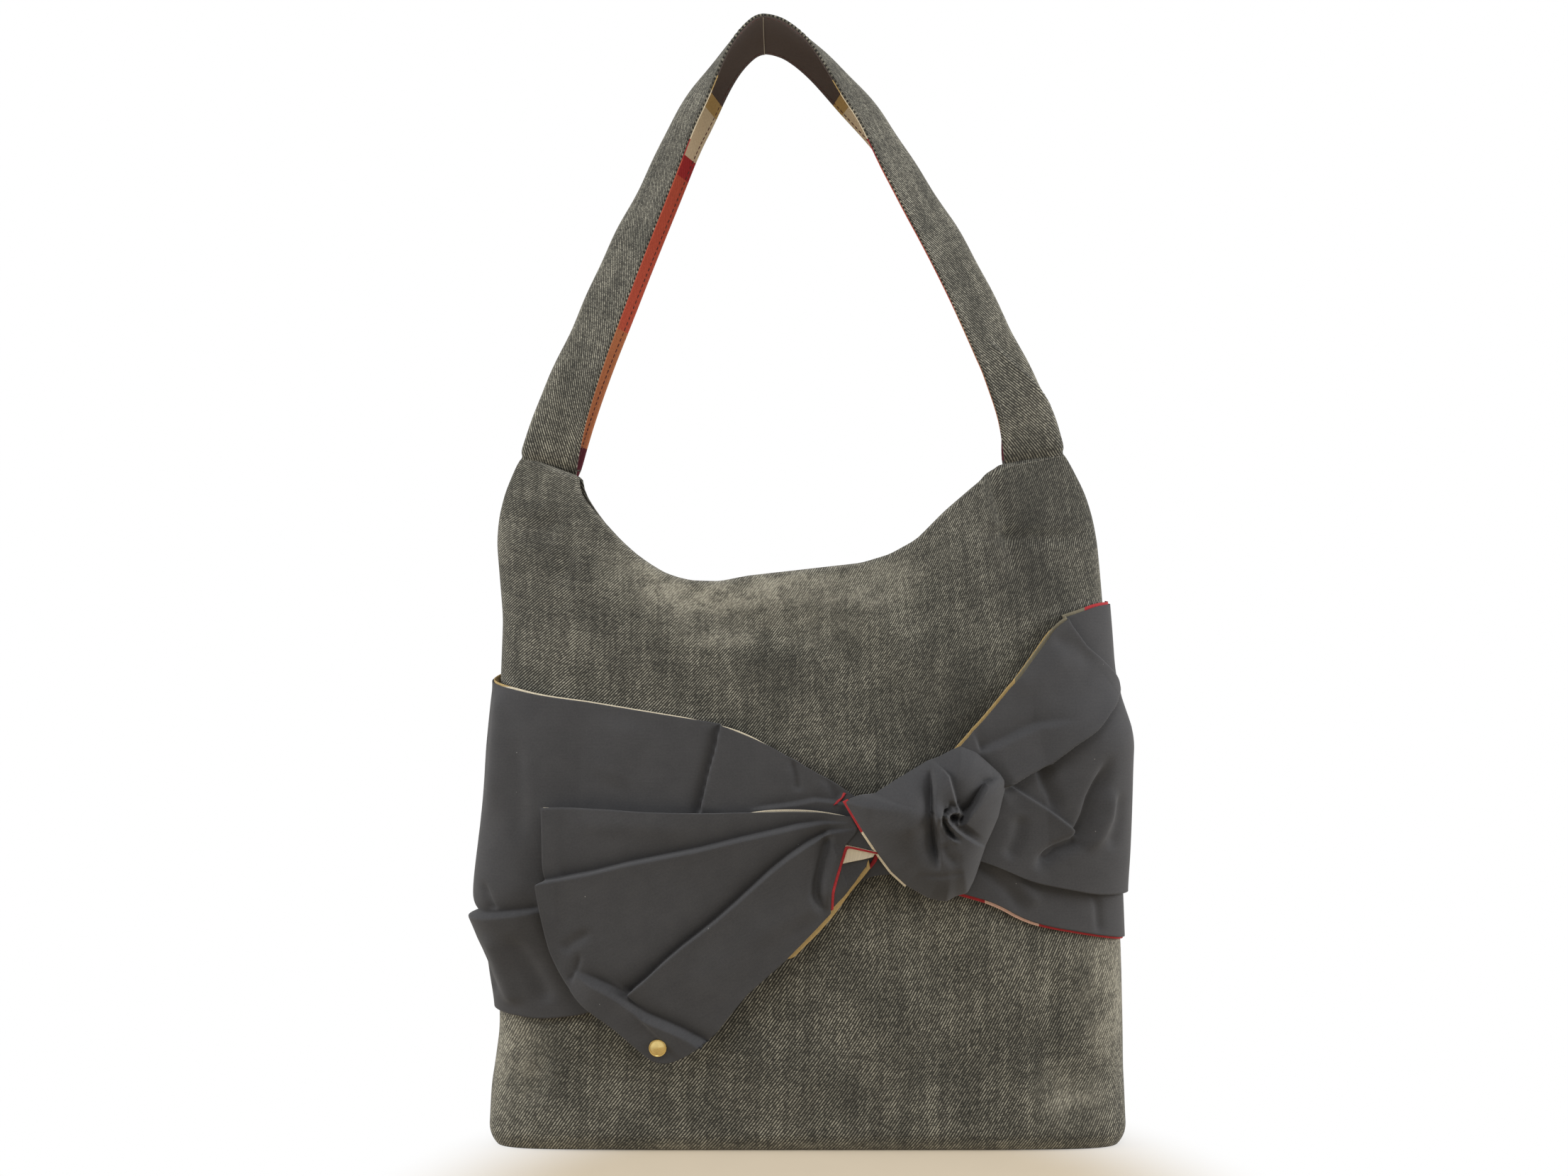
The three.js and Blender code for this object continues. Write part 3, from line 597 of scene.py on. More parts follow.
def denim_finish(settings):
    """Right-hand twill: dark warp, uneven pale dashes of weft on the slant, faint streaks, wear, and
    painted shade where the wear value is below 0.
    """
    cloth = Finish("Charcoal denim", Roughness=0.92, Sheen_Weight=0.06, Sheen_Roughness=0.5)
    cloth.specular(0.25)
    uv = cloth.threads()
    wander = cloth.noise(cloth.scaled(uv, (0.05, 0.02, 1.0)), 1.0, 2.0)
    slant = cloth.along(uv, (1 / settings.twill_across, -1 / settings.twill_up, 0.0))
    ends = cloth.math("ADD", slant, cloth.math("MULTIPLY", wander, 0.6))
    picks = cloth.along(uv, (0.0, 1 / settings.pick_spacing, 0.0))
    line, pick = cloth.wave(ends), cloth.wave(picks)
    end, shot = [cloth.math("FLOOR", cloth.math("ADD", count, 0.5)) for count in (ends, picks)]
    pair = cloth.math("FLOOR", cloth.math("MULTIPLY", shot, 0.5))
    places = [cloth.node("CombineXYZ", {0: end, 1: row})[0] for row in (shot, pair)]
    chance, grain = [
        cloth.node("TexWhiteNoise", {"Vector": at}, noise_dimensions="2D")[0] for at in places
    ]
    slope = np.hypot(settings.twill_across, settings.twill_up)
    ahead, aside = settings.twill_across / slope, settings.twill_up / slope
    on_twill = cloth.node(
        "CombineXYZ", {0: cloth.along(uv, (ahead, aside, 0.0)), 1: cloth.along(uv, (aside, -ahead, 0.0))}
    )[0]
    dashes = cloth.noise(cloth.scaled(on_twill, (0.4, 0.85, 1.0)), 1.0, 1.0, 0.5)
    dashes = cloth.spread(dashes, 0.36, 0.64)
    slub = cloth.noise(cloth.scaled(uv, (0.5, 0.02, 1.0)), 1.0, 2.0)
    bar = cloth.noise(cloth.scaled(uv, (0.02, 0.3, 1.0)), 1.0, 2.0)
    streak = cloth.noise(cloth.scaled(uv, (0.16, 0.014, 1.0)), 1.0, 3.0)
    cloud = cloth.spread(cloth.noise(uv, 0.03, 3.0), 0.32, 0.68)
    wear_and_shade = cloth.wear_and_shade()
    rubbed = cloth.spread(cloth.noise(uv, 0.075, 4.0, 0.62), 0.34, 0.64)
    faded = cloth.math("MULTIPLY", wear_and_shade, cloth.spread(rubbed, 0.0, 1.0, 0.3, 1.0), clamp=True)
    bright = cloth.math("ADD", cloth.math("MULTIPLY", chance, 0.3), cloth.math("MULTIPLY", dashes, 0.2))
    bright = cloth.math("ADD", bright, cloth.math("MULTIPLY", grain, 0.12))
    shown = cloth.math("MULTIPLY", cloth.spread(line, 0.15, 0.9), cloth.spread(pick, 0.0, 0.7, 0.5, 1.0))
    # Below 0, the wear value darkens the denim in the last factor: painted shade from the dark places.
    for part, *span in (
        (bright, 0.08, 0.54, 0.25, 1.0),
        (slub, 0.3, 0.7, 0.8, 1.2),
        (bar, 0.3, 0.7, 0.84, 1.16),
        (streak, 0.3, 0.7, 0.77, 1.21),
        (cloud, 0.0, 1.0, 0.78, 1.16),
        (wear_and_shade, -1.0, 0.0, 0.1, 0.92),
    ):
        shown = cloth.math("MULTIPLY", shown, cloth.spread(part, *span))
    lift = cloth.math("MULTIPLY", faded, cloth.spread(dashes, 0.0, 1.0, 0.22, 0.6))
    shown = cloth.math("ADD", shown, lift, clamp=True)
    ground = cloth.mix(cloud, opaque(settings.warp), opaque(settings.warp_brown))
    ground = cloth.mix(faded, ground, opaque(settings.worn))
    cloth.colour(cloth.mix(shown, ground, opaque(settings.weft)))
    height = cloth.math("ADD", line, cloth.math("MULTIPLY", dashes, 0.5))
    cloth.bump(height, 0.00012, 0.5)
    return cloth.material


def cotton_finish(settings):
    """Soft charcoal cotton with a fine plain weave, faint bars and a little lint."""
    cloth = Finish("Charcoal cotton", Roughness=0.9, Sheen_Weight=0.1, Sheen_Roughness=0.4)
    cloth.specular(0.22)
    uv = cloth.threads()
    across = cloth.wave(cloth.along(uv, (1 / settings.cotton_thread, 0.0, 0.0)))
    down = cloth.wave(cloth.along(uv, (0.0, 1 / settings.cotton_thread, 0.0)))
    weave = cloth.math("MULTIPLY", across, down)
    bars = cloth.noise(cloth.scaled(uv, (0.03, 1.6, 1.0)), 1.0, 2.0)
    cloud = cloth.spread(cloth.noise(uv, 0.06, 4.0, 0.55), 0.3, 0.72)
    nap = cloth.spread(cloth.noise(uv, 0.9, 4.0, 0.65), 0.3, 0.7)
    shade = cloth.math("MULTIPLY", cloth.math("ADD", cloud, bars), 0.4)
    shade = cloth.math("ADD", shade, cloth.math("MULTIPLY", nap, 0.45))
    ground = cloth.mix(shade, opaque(settings.cotton_dark), opaque(settings.cotton))
    spots = cloth.node("TexVoronoi", {"Vector": uv, "Scale": 0.11, "Randomness": 1.0})
    chosen = cloth.math("GREATER_THAN", cloth.along(spots[1], (1.0, 0.0, 0.0)), 0.72)
    lint = cloth.math("MULTIPLY", cloth.math("LESS_THAN", spots[0], 0.035), chosen)
    cloth.colour(cloth.mix(cloth.math("MULTIPLY", lint, 0.5), ground, opaque(settings.lint)))
    height = cloth.math("ADD", weave, cloth.math("MULTIPLY", bars, 0.6))
    cloth.bump(height, 0.00005, 0.5)
    return cloth.material


def lining_finish(name, stripes, period):
    """Plain woven stripes across the cloth, each with a fine rib."""
    cloth = Finish(name, Roughness=0.85, Sheen_Weight=0.05)
    cloth.specular(0.25)
    uv = cloth.threads()
    share = cloth.math("FRACT", cloth.along(uv, (1 / period, 0.0, 0.0)))
    ramp = cloth.tree.nodes.new("ShaderNodeValToRGB")
    ramp.color_ramp.interpolation = "CONSTANT"
    points = ramp.color_ramp.elements
    while len(points) < len(stripes):
        points.new(1.0)
    for point, (start, colour) in zip(points, stripes):
        point.position = start
        point.color = opaque(colour)
    cloth.tree.links.new(share, ramp.inputs[0])
    rib = cloth.wave(cloth.along(uv, (0.55, 0.9, 0.0)))
    fleck = cloth.spread(cloth.noise(uv, 0.7, 3.0), 0.3, 0.7)
    grain = cloth.math("MULTIPLY", cloth.math("ADD", rib, fleck), 0.26)
    dark = cloth.mix(1.0, ramp.outputs[0], (0.55, 0.52, 0.5, 1.0), "MULTIPLY")
    cloth.colour(cloth.mix(grain, ramp.outputs[0], dark))
    cloth.bump(rib, 0.00012, 0.5)
    return cloth.material


def metal_finish(name, colour, roughness):
    """Plated metal with faint turning marks and smudges."""
    metal = Finish(name, Metallic=1.0)
    place = metal.node("TexCoord")[3]
    smudge = metal.noise(place, 260.0, 4.0, 0.6)
    metal.roughness(metal.spread(smudge, 0.3, 0.75, roughness, roughness + 0.16))
    dull = tuple(0.82 * part for part in colour)
    metal.colour(metal.mix(metal.spread(smudge, 0.35, 0.7), opaque(colour), opaque(dull)))
    metal.bump(metal.noise(place, 1800.0, 2.0), 0.00002, 0.25)
    return metal.material


def board_finish(colour):
    """Pressed stiffening sheet with a mottled grain."""
    board = Finish("Stiffening board")
    place = board.node("TexCoord")[3]
    mottle = board.noise(place, 900.0, 4.0, 0.65)
    pale = tuple(1.25 * part for part in colour)
    board.colour(board.mix(mottle, opaque(colour), opaque(pale)))
    board.roughness(board.spread(mottle, 0.3, 0.7, 0.7, 0.9))
    board.bump(mottle, 0.0001, 0.4)
    return board.material


def thread_finish(name, colour):
    """Twisted sewing thread."""
    thread = Finish(name, Roughness=0.7)
    place = thread.node("TexCoord")[3]
    twist = thread.noise(place, 2600.0, 2.0)
    dark = tuple(0.6 * part for part in colour)
    thread.colour(thread.mix(twist, opaque(dark), opaque(colour)))
    thread.bump(twist, 0.0001, 0.4)
    return thread.material


def paint(piece, material):
    """Gives a piece or a CAD node one material."""
    piece.data.materials.clear()
    piece.data.materials.append(material)


MATERIALS = {}
THREADS = (
    ("denim_thread", "Charcoal thread"),
    ("pale_thread", "Pale thread"),
    ("lining_thread", "Dark red thread"),
)
BRASS_ROUGHNESS = 0.2
STEEL_ROUGHNESS = 0.28
BODY_REPEAT = 96.0
SASH_REPEAT = 190.0
STRAP_REPEAT = 330.0


# Settings that a user would change


def length(name, description, default, low=0.0):
    return FloatProperty(
        name=name, description=description, default=default, min=low, unit="LENGTH", precision=5
    )


def number(name, description, default, low=0.0):
    return FloatProperty(name=name, description=description, default=default, min=low, precision=3)


def power(name, description, default):
    return FloatProperty(name=name, description=description, default=default, unit="POWER")


def tint(name, description, default):
    return FloatVectorProperty(
        name=name, description=description, default=default, size=3, min=0.0, max=1.0, subtype="COLOR"
    )


class BagSizes(bpy.types.PropertyGroup):
    """Thicknesses and small sizes of the bag's cloth and fittings."""

    denim: length("Denim thickness", "Thickness of the denim", 0.0012)
    lining: length("Lining thickness", "Thickness of the cotton lining", 0.0006)
    cotton: length("Sash thickness", "Thickness of the sash's face cloth", 0.0008)
    sash_lining: length("Sash lining thickness", "Thickness of the sash's lining", 0.0005)
    stud: length("Stud radius", "Radius of the gold stud", 0.005)
    stitch: length("Stitch length", "Length of one strap stitch", 0.0026)
    stitch_gap: length("Stitch gap", "Gap between two strap stitches", 0.001)
    stitch_inset: length("Stitch inset", "Distance of the stitches from the strap's edge", 0.003)


class BagLooks(bpy.types.PropertyGroup):
    """Colours and thread spacings of the bag's finishes."""

    warp: tint("Warp", "Dark warp of the denim", (0.0172, 0.0172, 0.0150))
    warp_brown: tint("Brown warp", "Browner warp of the denim", (0.0245, 0.0232, 0.0200))
    weft: tint("Weft", "Pale weft of the denim", (0.43, 0.415, 0.34))
    worn: tint("Worn denim", "Rubbed places of the denim", (0.135, 0.125, 0.103))
    twill_across: number("Twill across", "Twill lines' spacing across, in millimetres", 1.69)
    twill_up: number("Twill up", "Twill lines' spacing upwards, in millimetres", 2.65)
    pick_spacing: number("Pick spacing", "Spacing of the weft, in millimetres", 0.66)
    cotton: tint("Sash", "Charcoal of the sash", (0.0645, 0.0645, 0.0675))
    cotton_dark: tint("Sash shade", "Darker charcoal of the sash", (0.0475, 0.0477, 0.0507))
    lint: tint("Lint", "Specks of lint on the sash", (0.35, 0.34, 0.33))
    cotton_thread: number("Sash thread", "Spacing of the sash's threads, in millimetres", 0.5)
    tan: tint("Tan stripe", "Tan stripe of the lining", (0.50, 0.36, 0.155))
    olive: tint("Olive stripe", "Olive stripe of the lining", (0.20, 0.18, 0.125))
    red: tint("Red stripe", "Red stripe of the lining", (0.40, 0.030, 0.036))
    cream: tint("Cream stripe", "Cream stripe of the lining", (0.74, 0.66, 0.50))
    pink: tint("Pink stripe", "Pale pink stripe of the lining", (0.80, 0.52, 0.42))
    brown: tint("Brown stripe", "Brown-grey stripe of the lining", (0.092, 0.072, 0.066))
    coral: tint("Coral stripe", "Orange-red stripe of the lining", (0.55, 0.105, 0.062))
    burgundy: tint("Burgundy stripe", "Dark red stripe of the lining", (0.115, 0.021, 0.032))
    orange: tint("Orange stripe", "Orange-tan stripe of the lining", (0.50, 0.19, 0.085))
    brass: tint("Stud gold", "Pale gold of the stud", (0.70, 0.53, 0.215))
    steel: tint("Snap steel", "Plated steel of the snap", (0.55, 0.54, 0.51))
    board: tint("Board", "Grey of the stiffening board", (0.18, 0.165, 0.14))
    denim_thread: tint("Denim thread", "Thread on the denim", (0.2, 0.19, 0.16))
    pale_thread: tint("Pale thread", "Thread of the strap's top seam", (0.62, 0.58, 0.5))
    lining_thread: tint("Lining thread", "Thread on the strap's lining", (0.12, 0.035, 0.03))


class BagStage(bpy.types.PropertyGroup):
    """Floor, light and background."""

    floor: tint("Floor", "Pale cream of the floor", (0.67, 0.575, 0.44))
    sky: number("Fill light", "Strength of the light from all round", 0.25)
    key: power("Key light", "Power of the light above", 13.5)
    side: power("Side light", "Power of each light at the side", 19.0)


def sizes():
    return bpy.context.scene.bag_sizes


def looks():
    return bpy.context.scene.bag_looks


# Wear of the denim and painted shade on it: (x, height, reach across, reach up, amount) of each rubbed
# and each dark place.
# At the back, x is from the middle to either side, or the height is from the mouth down.

FRONT_WEAR = (
    (-62, 312, 30, 10, 1.0),
    (-44, 289, 24, 5, 0.85),
    (-8, 287, 16, 6, 0.6),
    (20, 314, 40, 9, 0.55),
    (-30, 298, 60, 14, 0.35),
    (44, 325, 34, 14, 0.35),
    (86, 340, 16, 14, 0.35),
    (-108, 330, 18, 14, 0.35),
    (-170, 48, 20, 28, 0.5),
    (172, 84, 16, 40, 0.5),
    (150, 30, 22, 16, 0.45),
    (-176, 344, 10, 20, 0.4),
    (150, 346, 26, 6, 0.15),
    (-20, 2, 220, 4, 0.3),
)
# Dark places, partly painted shade: the shadow beside the sash near (88, 246) and the shade in the dent
# at the left shoulder are painted as darker denim.
FRONT_DARK_AND_SHADE = (
    (136, 354, 54, 74, 0.6),
    (88, 246, 44, 48, 0.55),
    (-156, 342, 30, 50, 0.42),
    (-22, 274, 28, 24, 0.55),
    (-100, 270, 40, 30, 0.15),
    (20, 40, 120, 40, 0.15),
)
BACK_SIDE_WEAR = ((178, 60, 14, 40, 0.4),)
BACK_MOUTH_WEAR = ((-40, 0, 80, 16, 0.45),)
COLLAR_WEAR = 0.95
COLLAR_DROP = 9
COLLAR_REACH = 13
COLLAR_ENDS = (-120, 40)
COLLAR_FADES = (40, 60)
EDGE_WEAR = 0.55
EDGE_WEAR_REACH = 1.6


def patches(x, z, places):
    """The strongest of some soft-edged places, from 0 to 1."""
    found = np.zeros(len(x))
    for at_x, at_z, reach_x, reach_z, amount in places:
        found = np.maximum(
            found, amount * np.exp(-(((x - at_x) / reach_x) ** 2) - ((z - at_z) / reach_z) ** 2)
        )
    return found


def front_wear_and_shade(spots):
    x, z = spots[:, 0], spots[:, 2]
    worn = patches(x, z, FRONT_WEAR)
    down = np.clip(rim_height(x) - z, 0, None)
    collar = COLLAR_WEAR * np.exp(-(((down - COLLAR_DROP) / COLLAR_REACH) ** 2))
    (left, right), (left_fade, right_fade) = COLLAR_ENDS, COLLAR_FADES
    collar = collar * ease((x - left) / left_fade) * ease((right - x) / right_fade)
    edge = EDGE_WEAR * np.exp(-down / EDGE_WEAR_REACH)
    # The dark places, partly painted shade, are taken off the wear and render darker.
    return np.maximum(worn, np.maximum(collar, edge)) - patches(x, z, FRONT_DARK_AND_SHADE)


def back_wear(spots):
    x, z = spots[:, 0], spots[:, 2]
    side = patches(np.abs(x), z, BACK_SIDE_WEAR)
    return np.maximum(side, patches(x, rim_height(x) - z, BACK_MOUTH_WEAR))


# Body

PANEL_GRID = (150, 150)
SKIN_GRID = (110, 70)
TWILL_POWERS = 4
TWILL_EVENNESS = 0.6
TWILL_PITCH = 1.38
TWILL_TIGHTER = 0.18
TWILL_REACH = 182
TWILL_SPAN = 180
TWILL_RISE = 200
TWILL_TURNS = (
    (-165, 390, 31), (-175, 345, 31), (-115, 345, 32), (-160, 300, 34), (-112, 300, 35), (-55, 300, 46),
    (5, 302, 49), (62, 300, 62), (118, 302, 64), (160, 340, 65), (150, 390, 63), (-165, 265, 40),
    (-115, 262, 42), (-60, 262, 50), (0, 262, 55), (60, 262, 63), (115, 262, 64), (-55, 235, 52),
    (5, 235, 56), (-180, 160, 52), (0, 160, 58), (180, 160, 64), (-165, 75, 55), (-90, 60, 56),
    (-30, 60, 58), (30, 75, 59), (90, 75, 61), (150, 75, 64), (-170, 15, 58), (-60, 15, 55),
    (60, 15, 56), (160, 15, 62), (30, 110, 61), (100, 110, 64), (-200, 120, 53), (205, 60, 64),
)
FACING_GRID = (130, 24)
RIM_GAP = 0.3
ROLL_SHARE = 0.1
SEAM_EDGE = 6
SEAM_DIP = 1.5
SEAM_DIP_REACH = 2.2
MOUTH_DIP = 0.8
MOUTH_DIP_REACH = 0.7


def wall_height(v, low, high):
    """Heights up a wall, with closer rows over the rolled base."""
    rolled = low + (BASE_ROLL_HEIGHT - low) * v / ROLL_SHARE
    plain = BASE_ROLL_HEIGHT + (high - BASE_ROLL_HEIGHT) * (v - ROLL_SHARE) / (1 - ROLL_SHARE)
    return np.where(v < ROLL_SHARE, rolled, plain)


def seam_dip(x, z, rim):
    """How far the cloth sinks into the strap's seam, and rolls in at the mouth's edge."""
    down = np.clip(rim - z, 0, None)
    on_seam = np.zeros(np.shape(x))
    for side in (LEFT, RIGHT):
        inner = strap_seam(side)[1]
        on_seam = np.maximum(on_seam, ease(0.5 + side * (x - inner[0]) / SEAM_EDGE))
    dip = SEAM_DIP * on_seam * np.exp(-down / SEAM_DIP_REACH)
    return dip + MOUTH_DIP * (1 - on_seam) * np.exp(-down / MOUTH_DIP_REACH)


def panel_place(face):
    def place(u, v):
        share = column_share(u)
        rim = rim_at(share, face)
        z = wall_height(v, 0.0, rim)
        x = middle(z) + half_width(z) * share
        return body_point(share, z, seam_dip(x, z, rim), face)

    return place


def skin_place(face, low, high):
    """The cloth inside the denim, between two heights that depend on the rim."""

    def place(u, v):
        share = column_share(u)
        rim = rim_at(share, face)
        z = low(rim) + (high(rim) - low(rim)) * v
        x = middle(z) + half_width(z) * share
        return body_point(share, z, LINING_INSET + seam_dip(x, z, rim), face)

    return place


def twill_terms(x, z):
    """Products of powers of a place, each with its rise across and up."""
    a, b = x / TWILL_SPAN, (z - TWILL_RISE) / TWILL_RISE
    terms = []
    for i in range(TWILL_POWERS + 1):
        for j in range(TWILL_POWERS + 1 - i):
            if i + j > 0:
                rise_a = i * a ** max(i - 1, 0) * b**j / TWILL_SPAN
                rise_b = j * a**i * b ** max(j - 1, 0) / TWILL_RISE
                terms.append((a**i * b**j, rise_a, rise_b))
    return np.moveaxis(np.array(terms), 1, 0)


def twill_shares():
    """Shares of the terms that turn the twill lines as they lie on the front."""
    x, z, degrees = np.array(TWILL_TURNS, float).T
    _, across, up = twill_terms(x, z)
    turn = np.radians(degrees)
    along = across * np.cos(turn) + up * np.sin(turn)
    over = across * np.sin(turn) - up * np.cos(turn)
    rows = np.concatenate([along, TWILL_EVENNESS * over], axis=1).T
    pitch = TWILL_PITCH - TWILL_TIGHTER * ease((z - 150) / 120)
    wanted = np.concatenate([np.zeros(len(x)), TWILL_EVENNESS / pitch])
    return np.linalg.lstsq(rows, wanted, rcond=None)[0]


def upright_weave(face):
    """Threads that run round the body and up it, with the twill's turn on the front."""

    def weave(u, v, spots):
        turn = np.pi / 2 * np.abs(2 * u - 1)
        z = spots[:, 2]
        around = np.sign(u - 0.5) * between(WALKS, z / WALK_Z[1], turn / WALK_TURNS[1]) * -face
        if face == FRONT:
            held = np.clip(around, -TWILL_REACH, TWILL_REACH)
            lines, rise, _ = np.tensordot(twill_terms(held, z), twill_shares(), axes=(1, 0))
            lines = lines + rise * (around - held)
            look = looks()
            z = look.twill_up * (around / look.twill_across - lines)
        return np.stack([around, z], axis=-1)

    return weave


def make_body():
    """The two denim halves, their facings and their linings."""
    size = sizes()
    for name, face, wear_and_shade in (("front", FRONT, front_wear_and_shade), ("back", BACK, back_wear)):
        outward = (0, face, 0)
        weave = upright_weave(face)
        place = panel_place(face)
        panel = lay_cloth(f"denim_{name}", PANEL_GRID, place, weave, size.denim, outward, wear_and_shade)
        paint(panel, MATERIALS["denim"])
        declare(panel, [f"{name}_panel"], "bag")
        lining_place = skin_place(face, lambda rim: FLOOR_HEIGHT, lambda rim: rim - FACING_DEPTH)
        lining = lay_cloth(f"lining_{name}", SKIN_GRID, lining_place, weave, size.lining, outward)
        paint(lining, MATERIALS["lining"])
        declare(lining, [f"{name}_lining"], "bag")
        facing_place = skin_place(face, lambda rim: rim - FACING_DEPTH, lambda rim: rim - RIM_GAP)
        facing = lay_cloth(
            f"facing_{name}", FACING_GRID, facing_place, weave, size.lining, outward, back_wear
        )
        paint(facing, MATERIALS["denim"])
        declare(facing, [f"{name}_facing"], "bag")


BASE_GRID = (120, 40)
BASE_INSET = 1.5
BASE_LINING_INSET = 2.6


def base_place(z, inset):
    """A flat plate that fills the body's section at its own height."""

    def place(u, v):
        share = column_share(u)
        front = body_point(share, np.full(u.shape, z), inset, FRONT)
        back = body_point(share, np.full(u.shape, z), inset, BACK)
        spots = front + (back - front) * v[:, None]
        spots[:, 2] = z
        return spots

    return place


def flat_weave(u, v, spots):
    return spots[:, :2].copy()


def no_wear(spots):
    return np.zeros(len(spots))


def make_base():
    """The denim bottom and the lining over the stiffening board."""
    size = sizes()
    under = lay_cloth(
        "denim_base", BASE_GRID, base_place(0.0, BASE_INSET), flat_weave, size.denim, (0, 0, -1),
        no_wear
    )
    paint(under, MATERIALS["denim"])
    declare(under, ["base_panel"], "bag")
    top = FLOOR_HEIGHT + size.lining / MM
    over = lay_cloth(
        "lining_base", BASE_GRID, base_place(top, BASE_LINING_INSET), flat_weave, size.lining, (0, 0, 1)
    )
    paint(over, MATERIALS["lining"])
    declare(over, ["base_lining"], "bag")
    paint(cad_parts["base_board"], MATERIALS["board"])


def make_snap():
    """Plated finish for the two halves of the magnetic snap."""
    for node in ("snap_socket", "snap_post"):
        paint(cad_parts[node], MATERIALS["steel"])


# Strap

STRAP_GRID = (56, 190)
STRAP_ROWS = 400


def rounded_line(points, cuts=4):
    """A bent line with its corners cut round and its ends kept."""
    line = np.array(points, float)
    for _ in range(cuts):
        near = 0.75 * line[:-1] + 0.25 * line[1:]
        far = 0.25 * line[:-1] + 0.75 * line[1:]
        corners = np.stack([near, far], axis=1).reshape(-1, 2)
        line = np.concatenate([line[:1], corners, line[-1:]])
    return line


class StrapLeg:
    """One leg of the strap: folded along its spine at the seam, and opening flat towards the top."""

    def __init__(self, side):
        self.side = side
        outer, _, self.up = strap_seam(side)
        line = rounded_line((outer + 0.2 * self.up, *STRAP_LINES[side]))
        passed = np.concatenate([[0], np.cumsum(np.hypot(*np.diff(line, axis=0).T))])
        self.length = passed[-1]
        self.rows = np.linspace(0, self.length, STRAP_ROWS)
        self.spine = np.stack([np.interp(self.rows, passed, line[:, k]) for k in (0, 1)], axis=-1)
        self.way = unit(np.gradient(self.spine, axis=0))
        self.half_width = SEAM_HALF_WIDTH[side]

    def along(self, table, passed):
        return np.stack([np.interp(passed, self.rows, table[:, k]) for k in (0, 1)], axis=-1)

    def uneven(self, inset, passed, across, width):
        """An inset with the roll over the seam, the crumpled middle and the right leg's crease."""
        above = np.maximum(passed, 0)
        roll = STRAP_ROLL * (1 - np.exp(-above / STRAP_ROLL_START)) * np.exp(-above / STRAP_ROLL_END)
        roll = roll - STRAP_DIP * np.exp(-above / STRAP_DIP_REACH)
        low_end, top_end = STRAP_CRUMPLE_ENDS
        middle_part = ease(above / low_end) * ease((self.length - passed) / top_end)
        crumple = 0.9 * np.sin(passed / 17 + 2 * across * self.side)
        crumple = crumple + 0.5 * np.sin(passed / 7.3 - 3 * across)
        inset = inset - roll - crumple * middle_part * (1 - across**2) * STRAP_CRUMPLE
        if self.side == RIGHT:
            inset = inset - lap(passed, across * width, STRAP_CREASE, 2.4, 2.2, (14, 9), 0.8, (0.2, 0.3))
            inset = inset - ridge(passed, across * width, STRAP_CREASE, 1.6, 1.5, (0.2, 0.3))
        return inset

    def point(self, passed, across, inset):
        """A point by the length passed from the seam, across from -1 in front to 1 behind."""
        side = self.side
        share = np.clip(passed / self.length, 0, 1)
        way = self.along(self.way, passed)
        at = self.along(self.spine, passed) + np.minimum(passed, 0)[..., None] * self.up
        inwards = np.stack([-side * way[..., 1], side * way[..., 0]], axis=-1)
        opening = STRAP_OPENING * np.sqrt(share) + STRAP_TOP_OPENING * ease((share - 0.75) / 0.25)
        rounding = STRAP_FOLD_RADIUS + (STRAP_TOP_ROUNDING - STRAP_FOLD_RADIUS) * share**4
        tables = (STRAP_FRONT_EXTRA[side], STRAP_BACK_EXTRA[side])
        front, back = (soft_line(table, share, STRAP_EXTRA_EASE) for table in tables)
        extra = np.where(across < 0, front, back)
        width = self.half_width + (STRAP_TOP_HALF_WIDTH - self.half_width) * share + extra
        step = np.abs(across) * width / SECTION_STEPS
        reach = np.zeros(np.shape(across))
        depth = np.zeros(np.shape(across))
        for k in range(SECTION_STEPS):
            turn = opening + (np.pi / 2 - opening) * np.exp(-(k + 0.5) * step / rounding)
            reach = reach + np.cos(turn) * step
            depth = depth + np.sin(turn) * step
        turn = opening + (np.pi / 2 - opening) * np.exp(-SECTION_STEPS * step / rounding)
        inset = self.uneven(inset, passed, across, width)
        reach = reach + inset * np.sin(turn)
        depth = depth - inset * np.cos(turn)
        bent = np.clip(depth, 0, STRAP_BEND_RADIUS)
        raised = STRAP_BEND_RADIUS - np.sqrt(STRAP_BEND_RADIUS**2 - bent**2)
        raised = raised * np.clip(1 - share / STRAP_BEND_LENGTH, 0, 1)
        flat = at + inwards * reach[..., None] + way * raised[..., None]
        depth = depth * (1 - STRAP_TUCK_PINCH * ease(-passed / STRAP_TUCK))
        return np.stack([flat[..., 0], np.sign(across) * depth, flat[..., 1]], axis=-1)


def strap_place(leg, inset):
    def place(u, v):
        passed = -STRAP_TUCK + (leg.length - 0.1 + STRAP_TUCK) * v
        return leg.point(passed, 2 * u - 1, np.full(u.shape, inset))

    return place


def strap_weave(leg, shift=0.0):
    def weave(u, v, spots):
        return np.stack([(2 * u - 1) * leg.half_width * -leg.side, v * leg.length + shift], axis=-1)

    return weave


def strap_lining_weave(leg, shift):
    """Stripes across the strap, so the lengths of thread change places."""

    def weave(u, v, spots):
        return np.stack([v * leg.length + shift, (2 * u - 1) * leg.half_width], axis=-1)

    return weave


def strap_wear(spots):
    """The strap is rubbed along its folded edge and dark elsewhere."""
    folded = np.exp(-np.abs(spots[:, 1]) / 5)
    return 0.5 * folded * ease((spots[:, 2] - 395) / 30) - 0.1


def bend_with_strap(piece):
    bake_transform(piece)


